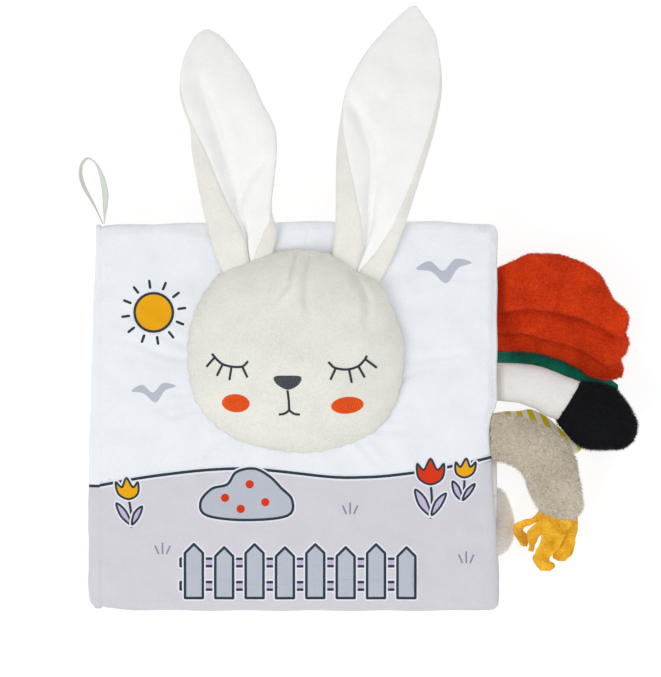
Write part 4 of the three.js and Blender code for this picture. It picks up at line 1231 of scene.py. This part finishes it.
# Each: upper and lower edge from the root out, middle height and half thickness, material and slot
feather_forms = [
    (
        "rust_feather_1",
        [(86.8, 66), (91.3, 66.9), (97.1, 69.4), (105.5, 72.8), (113, 72.6), (119.6, 71.8), (128.9, 68.1),
         (136.2, 63.5), (139.6, 58.2), (143.5, 51.3), (148.2, 47.2), (150, 43), (149, 38.4)],
        [(86.8, 45.8), (92.3, 46.2), (97.5, 47), (104, 47.4), (110.5, 47.2), (116.7, 46.4), (122.5, 45.2),
         (128, 43.4), (133, 41.2), (137.5, 39.1), (141, 37.2), (143.8, 35.7), (147, 35)],
        [22.8, 25, 27.4] + [28] * 7 + [27.8, 27.5, 27],
        [0.5, 2.4, 3.8, 4.3, 4.4, 4.4, 4.4, 4.3, 4.2, 4, 3.5, 2.6, 1.2],
        rust_plush, "rust_plush",
    ),
    (
        "rust_feather_2",
        [(86.8, 56), (92, 57), (98, 58), (105, 58.5), (112, 58), (119, 56), (126, 53), (133, 49), (139, 44.5),
         (144, 40), (149, 37), (151, 32.6), (150, 28)],
        [(86.8, 36.4), (92.6, 36.7), (97.5, 36.8), (102.4, 36.7), (107.3, 35.8), (112.2, 34.7), (117, 33.4),
         (122, 31.8), (127, 29.8), (131.8, 27.4), (136.5, 24.7), (141.4, 21.8), (146.4, 23.6)],
        [21.2, 20.6, 20] + [19.8] * 10,
        [0.5, 1.4, 2.4, 2.9, 3, 3, 3, 3, 3, 2.9, 2.7, 2.2, 1.1],
        rust_plush, "rust_plush",
    ),
    (
        "rust_feather_3",
        [(86.8, 46), (92, 47), (98, 47.4), (105, 47.2), (112, 46), (119, 43.6), (126, 40.4), (132, 37),
         (137.5, 33.5), (143, 30), (147.8, 25.6), (149.9, 20.8), (149, 17)],
        [(86.8, 28.6), (91.9, 28.8), (97.3, 28.8), (102.7, 28.6), (107.6, 27.9), (112.6, 27.1), (117.5, 25.8),
         (122.4, 24.4), (126.1, 22.8), (129.8, 21), (133.8, 18), (138.6, 15.8), (145, 15.2)],
        [19.8, 17.2, 14.2, 13.4] + [13.3] * 9,
        [0.5, 1.4, 2.3, 2.5, 2.6, 2.6, 2.6, 2.6, 2.5, 2.5, 2.4, 2, 1],
        rust_plush, "rust_plush",
    ),
    (
        "green_feather",
        [(86.8, 32), (92, 33), (100, 32.6), (108, 31), (116, 29), (124, 26), (132, 22), (138, 18.7),
         (144.4, 16), (148.4, 13.2)],
        [(86.8, 22.5), (92.2, 22.5), (96.6, 22.5), (108, 21.1), (114, 19.4), (120.3, 17.5), (129.2, 15),
         (136, 12.8), (143, 10.8), (148.6, 10)],
        [18.2, 13.4, 8.4] + [7.8] * 7,
        [0.4, 1.4, 2.1, 2.3, 2.3, 2.3, 2.3, 2.1, 1.7, 0.8],
        green_plush, "green_plush",
    ),
]
# Where the pile starts, clear of the pages' edges, in metres
PILE_START = 0.0912
for index, (node, upper, lower, middle, thick, material, slot) in enumerate(feather_forms):
    made = stuffed_form(f"{node}_cloth", upper, lower, middle, thick, material, corner=2.8)
    lump(made, (16, 0.7, index), (6, 0.35, index + 3), (2.2, 0.14, index + 6))
    pile = None
    if material == rust_plush:
        clear = [point.co.x > PILE_START for point in made.data.vertices]
        pile = grow_pile(made, material, 2.6, 1.15, (0.35, -0.5, 0), half=0.13, seed=index + 3, where=clear)
    hang_on(made, node, pile=pile)


# White tail: a tube of off-white velour, sewn to a fuller black plush tip, turned, stuffed and sewn
# into the first page's fore-edge seam.

# Velour sheared short: matt, almost without grain. The black plush swallows nearly all light.
white_velour = cloth_material("off-white velour", 0xEFEDEA, 0xDDDAD7, 0.8, 0.3)
black_plush = cloth_material("black plush", 0x1B1C1F, 0x101013, 0.9, 0.5, sheen=0.02, shine=0.06)
white_tail = stuffed_form(
    "white_tail_plush",
    [(86.8, 23.3), (91, 23.5), (99, 23), (107.1, 22), (113.5, 20.2), (119.3, 18.1), (124, 16.5),
     (128.4, 14.9)],
    [(86.8, 6.6), (91.9, 6.4), (96.5, 5.9), (100.7, 5.1), (107.2, 2.6), (110.5, 0.5), (113.8, -1.3),
     (117.9, -2.8)],
    [26.1] * 8,
    [0.8, 2.8, 5.0, 5.9, 6.2, 6.3, 6.5, 6.3],
    white_velour,
)
lump(white_tail, (14, 0.6, 2), (5, 0.2, 5))
hang_on(white_tail, "white_tail")
black_tip = stuffed_form(
    "black_tail_tip_plush",
    [(128.2, 14.9), (130.6, 15.2), (134, 14.8), (138.1, 13.9), (144.5, 11.1), (149.3, 5.6), (152.3, 0.8),
     (153.9, -3.6), (153.8, -7.6)],
    [(117.8, -2.8), (118.9, -5), (120.9, -7.5), (125.3, -12.4), (130.2, -15.2), (137.3, -16), (143, -15.9),
     (147.2, -15.3), (151.6, -12.6)],
    [26.1] * 9,
    [6.3, 7.4, 8.3, 9.2, 9.6, 9.2, 7.9, 5.8, 2.2],
    black_plush,
)
lump(black_tip, (14, 0.9, 3), (5, 0.4, 6))
black_pile = grow_pile(black_tip, black_plush, 1.8, 1.3, (0.4, -0.2, 0), half=0.13, seed=8)
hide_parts("black_tail_tip")
for piece in (black_tip, black_pile):
    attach(piece, "white_tail")


# Fur tail: a curved tube of grey-beige faux fur, stuffed, with its root in the cover's fore-edge
# seam and a fringe of mustard felt sewn into its end.

# Faux fur: acrylic fibres on a knitted ground, cream to grey-beige, so that it looks flecked
fur_cloth = cloth_material(
    "grey-beige faux fur", 0xD9D0BF, 0xA89C86, 0.7, 0.6, contrast=1.2, mottle=0.35, patch=16
)
fur_fibres = cloth_material(
    "grey-beige fur fibres", 0xFFFBF2, 0xB2A691, 1.5, 0, contrast=1.5, mottle=0.3, patch=16
)
fur_tail = stuffed_form(
    "fur_tail_cloth",
    [(87.4, 0.2), (92.3, 0.2), (97.8, -0.6), (106.5, -3.3), (113.1, -5.8), (119.6, -10.7), (124.5, -17.8),
     (126.7, -23.8), (127.8, -30.3), (128.6, -36.5), (129, -42.6), (125.6, -47.2)],
    [(87.4, -20.4), (90, -20.7), (92.1, -21), (94.4, -21.6), (96.7, -22.4), (98.8, -23.8), (100.5, -25.4),
     (102, -27.6), (103.2, -30.3), (105.4, -36), (109.9, -43), (117, -47)],
    [32.4, 32, 31.4, 30.6, 30, 29.5, 29.3, 29.2, 29.1, 29, 29, 29],
    [1, 3.4, 5.2, 6.6, 7.2, 7.4, 7.4, 7.2, 6.6, 5.2, 3.6, 1.4],
    fur_cloth,
)
lump(fur_tail, (14, 0.8, 4), (5, 0.35, 7), (1.6, 0.18, 9))
fur_pile = grow_pile(fur_tail, fur_fibres, 2.2, 1.6, (0.3, -0.9, 0), half=0.15, seed=9)
hang_on(fur_tail, "fur_tail", fur_pile)


# Fringe: a piece of mustard felt, cut into four strips that curl over each other, with its uncut end
# sewn into the end of the fur tail.

# Needled felt: fibres matted together without a weave, so matt, with soft blotches of darker mustard
felt = cloth_material("mustard felt", 0xFFC636, 0xC9880C, 0.8, 0.35, mottle=0.9, patch=5)
FELT_HALF = 0.75
# Each strip: its outer and its inner edge, its middle heights, and how far it tilts across
fringe_forms = [
    (
        [(109.9, -42.9), (106.8, -45.9), (103, -47.6), (99.5, -48.6), (98.3, -50.8), (98.6, -54),
         (99.8, -56.9), (102.2, -59.3), (104.4, -60.2)],
        [(112, -47.9), (108.5, -49.3), (105.7, -50.4), (103.6, -51.3), (103, -52.4), (103.6, -53.4),
         (104.5, -54.6), (105, -56.8), (105.1, -58.8)],
        [28.4, 27.8, 27, 26, 24.8, 23.4, 22, 20.8, 20],
        [0, 0.5, 1, 1.5, 3.5, 5, 5, 4, 2.5],
    ),
    (
        [(109.5, -47), (106.6, -49.8), (104.4, -52.2), (103.8, -54.6), (104.6, -57.2), (105.4, -59.6),
         (105.4, -62.1)],
        [(114, -49.8), (111.8, -53.2), (110.2, -55.4), (109.2, -57.5), (108.3, -59.5), (107.9, -61.2),
         (107.4, -62.8)],
        [28.8, 28, 26.8, 25.4, 24, 22.6, 21.4],
        [0, 1, 2, 2.5, 2.5, 2, 1],
    ),
    (
        [(127, -43.5), (126.8, -51), (126.4, -55), (125.8, -59.6), (124.6, -63.8), (122, -66.7),
         (118.8, -66.8)],
        [(116.5, -46), (118.8, -51.5), (120.4, -54), (120, -57.6), (118.6, -60.6), (117.4, -63),
         (116.7, -65.4)],
        [27.6, 27.2, 26.4, 25.4, 24, 22.6, 21.4],
        [0, 0, 0.5, 1, 1.5, 2, 2],
    ),
    (
        [(110, -41.5), (110.5, -46), (110.9, -53.5), (110.3, -57.5), (108.4, -61.4), (107.5, -65),
         (108.4, -68.3), (111.2, -71.2), (115.2, -71.4)],
        [(126, -42), (125.4, -47.5), (122.6, -53.5), (120.3, -57), (118.4, -60.2), (116.2, -63.2),
         (114.8, -65.6), (114.6, -67.3), (116.9, -69.3)],
        [28.6, 29, 28.8, 28, 26.8, 25.2, 23.6, 22.2, 21],
        [0, 0, 0, -0.5, -1, -1.5, -1.5, -1, -0.5],
    ),
]
strips = []
for index, (outer, inner, levels, tilts) in enumerate(fringe_forms):
    half = [FELT_HALF] * len(levels)
    tilt = np.array(tilts)
    strip = stuffed_form(f"strip_{index}", outer, inner, levels, half, felt, 28, corner=2.6, tilt=tilt)
    lump(strip, (7, 1.0, index), (2.5, 0.4, index + 4))
    strips.append(strip)
bpy.ops.object.select_all(action="DESELECT")
for strip in strips:
    strip.select_set(True)
bpy.context.view_layer.objects.active = strips[0]
bpy.ops.object.join()
fringe = strips[0]
fringe.name = "fringe_felt"
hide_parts("fur_tail_fringe")
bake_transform(fringe)


# Puff tail: two round pieces of cream short fur, sewn face to face, turned and stuffed, with the
# root sewn into the last page's fore-edge seam.

# Short fur: cream fibres with soft shadow between their tufts
puff_plush = cloth_material("cream short fur", 0xF8F6F1, 0xE4DFD6, 0.8, 0.6)
puff_fibres = cloth_material("cream fur fibres", 0xFFFFFB, 0xE6E1D8, 1.4, 0, contrast=1.3)
puff = stuffed_form(
    "puff_tail_cloth",
    [(86.9, -36), (89.3, -34.3), (92.2, -34.9), (94.7, -36.7), (96.8, -40.6), (98.7, -45.2), (99.5, -49)],
    [(86.9, -61.6), (89, -64.6), (91.8, -65.5), (94.8, -64.7), (97.3, -62), (99.1, -58.1), (99.7, -53.6)],
    [9.9] * 7,
    [1, 3.4, 5, 5.8, 5.4, 3.8, 1.6],
    puff_plush,
)
lump(puff, (9, 0.8, 5), (3, 0.3, 8))
puff_pile = grow_pile(puff, puff_fibres, 2.2, 1.2, (0.3, -0.3, 0), half=0.1, seed=10)
hang_on(puff, "puff_tail", puff_pile)


# Striped tail: two pieces of cotton, cut on the bias, turned, lightly stuffed and sewn into the third
# page's fore-edge seam.

# Width of one yellow and one white stripe, in metres
STRIPE_PITCH = 0.0046


def striped_cloth():
    """Printed cotton, smooth and plain-woven: yellow stripes a good 2 mm wide on white."""
    material = cloth_material("striped printed cotton", 0xFCFCF8, 0xF0F0EA, 0.8, 0.2)
    tree = material.node_tree
    place = add_node(tree, "ShaderNodeTexCoord").outputs["Object"]
    bias = {0: place, 1: (0.91, 0.41, 0.2)}
    across = add_node(tree, "ShaderNodeVectorMath", bias, operation="DOT_PRODUCT").outputs["Value"]
    pitch = {0: across, 1: STRIPE_PITCH}
    share = add_node(tree, "ShaderNodeMath", pitch, operation="DIVIDE").outputs[0]
    wrapped = add_node(tree, "ShaderNodeMath", {0: share, 1: 1.0}, operation="FLOORED_MODULO").outputs[0]
    yellow = add_node(tree, "ShaderNodeMath", {0: wrapped, 1: 0.5}, operation="GREATER_THAN").outputs[0]
    shader = tree.nodes["Principled BSDF"]
    base = shader.inputs["Base Color"].links[0].from_socket
    inks = {"Factor": yellow, "A": base, "B": linear(0xE6CD14)}
    mixed = add_node(tree, "ShaderNodeMix", inks, data_type="RGBA").outputs["Result"]
    tree.links.new(mixed, shader.inputs["Base Color"])
    return material


striped = stuffed_form(
    "striped_tail_cloth",
    [(86.6, -0.5), (94.9, 0.7), (102.1, 1.3), (107.1, 1.8), (111.6, 0.1), (117.2, -3.3), (122, -8),
     (127, -12.8), (131.4, -16.6)],
    [(86.6, -14.5), (93, -14.5), (99, -15.5), (104, -17), (109, -19), (114, -20), (119, -20.4), (124, -20.2),
     (129.5, -18.8)],
    [15.2, 13.6, 12, 10.8, 9.6, 8.6, 7.8, 7.3, 7],
    [0.5, 1.3, 2.2, 2.5, 2.6, 2.6, 2.4, 1.8, 0.7],
    striped_cloth(),
)
lump(striped, (9, 0.5, 6))
hang_on(striped, "striped_tail")


# Hang loop: a narrow woven polyester ribbon, folded over, with both ends pinched into the seam at
# the spine's corner. It stands on edge on its left and turns half flat on its way back.

# Woven ribbon: a fine, even, slightly smooth grain
ribbon_cloth = cloth_material("pale grey-green woven ribbon", 0xE2E7DF, 0xCBD2C9, 0.5, 0.3)
RIBBON_HALF = 1.5
RIBBON_THICK = 0.25
RIBBON_Z = 32.5
# Along the loop: its places, its turn from flat in degrees, and its share of the full width
ribbon_places = [(-87.2, 85.9), (-89.5, 91), (-92.3, 96.5), (-95.4, 102), (-97.1, 107.4), (-96.7, 112.5),
                 (-94, 115.3), (-90.6, 113.3), (-88.3, 109), (-86.8, 104), (-86, 99), (-86.1, 93),
                 (-86.5, 85.9)]
ribbon_turn = [86, 86, 78, 66, 68, 80, 84, 80, 60, 34, 20, 40, 84]
ribbon_width = [0.35, 0.8, 1, 1, 1, 1, 1, 1, 1, 1, 1, 0.85, 0.35]
ribbon_path = curve_through([(x, y, RIBBON_Z) for x, y in ribbon_places], 9)
stations = np.linspace(0, 12, len(ribbon_path))
rows = []
for index, centre in enumerate(ribbon_path):
    ahead = ribbon_path[min(index + 1, len(ribbon_path) - 1)] - ribbon_path[max(index - 1, 0)]
    side = np.array([-ahead[1], ahead[0], 0]) / np.linalg.norm(ahead)
    turn = math.radians(np.interp(stations[index], range(13), ribbon_turn))
    wide = side * math.cos(turn) + np.array([0, 0, math.sin(turn)])
    thin = np.cross(ahead / np.linalg.norm(ahead), wide)
    half = RIBBON_HALF * np.interp(stations[index], range(13), ribbon_width)
    ring = [(-1, -1), (-0.4, -1), (0.4, -1), (1, -1), (1, 1), (0.4, 1), (-0.4, 1), (-1, 1)]
    rows.append([centre + wide * half * u + thin * RIBBON_THICK * v for u, v in ring])
loop = make_tube("hang_loop_ribbon", rows, [ribbon_cloth])
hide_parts("hang_loop")
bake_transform(loop)


# Studio: a glowing white backdrop, as for a product shot, under an even light from all round, a
# soft key from the lower left, a weaker top light and a faint side light. The camera looks straight
# down, as the photograph does.

# How strongly the backdrop and the room glow, and half the backdrop's width, so wide that a low
# view doesn't see its end
FLOOR_GLOW, ROOM_GLOW = 0.78, 0.6
FLOOR_HALF = 20000

# Matt white paper, lit from behind, so that it shows only faint shadows
backdrop = bpy.data.materials.new("glowing white backdrop")
backdrop.use_nodes = True
paper = backdrop.node_tree.nodes["Principled BSDF"].inputs
paper["Base Color"].default_value = (0.3, 0.3, 0.3, 1)
paper["Roughness"].default_value = 0.95
paper["Specular IOR Level"].default_value = 0
paper["Emission Color"].default_value = (1, 1, 1, 1)
paper["Emission Strength"].default_value = FLOOR_GLOW
corners = [(x * FLOOR_HALF, y * FLOOR_HALF, 0) for x, y in ((-1, -1), (1, -1), (1, 1), (-1, 1))]
floor = make_object("floor", corners, [(0, 1, 2, 3)], [backdrop])

scene = bpy.context.scene
scene.view_settings.view_transform = "Standard"
world = bpy.data.worlds.new("studio")
world.use_nodes = True
world.node_tree.nodes["Background"].inputs["Color"].default_value = (1, 1, 1, 1)
world.node_tree.nodes["Background"].inputs["Strength"].default_value = ROOM_GLOW
scene.world = world


def area_light(name, place, aim, size, power):
    """A round soft box of that many metres and watts."""
    light = bpy.data.lights.new(name, "AREA")
    light.shape = "DISK"
    light.size = size
    light.energy = power
    made = bpy.data.objects.new(name, light)
    made.location = place
    made.rotation_mode = "QUATERNION"
    made.rotation_quaternion = (Vector(aim) - Vector(place)).to_track_quat("-Z", "Y")
    scene.collection.objects.link(made)


area_light("key", (-0.7, -0.6, 1.1), (0, 0, 0), 0.7, 6.2)
area_light("top", (0.2, 0.1, 1.5), (0.05, 0, 0), 0.8, 3.2)
area_light("side", (1.0, -0.1, 0.5), (0.05, 0, 0), 0.6, 1)

# Above the middle of the picture, at a distance from which a 100 mm lens takes in the whole book
camera = bpy.data.objects.new("camera", bpy.data.cameras.new("camera"))
camera.data.lens = 100
camera.location = (0.0152, 0.0343, 0.878)
camera.rotation_euler = (0, 0, 0)
camera.data.clip_end = 10
scene.collection.objects.link(camera)
scene.camera = camera
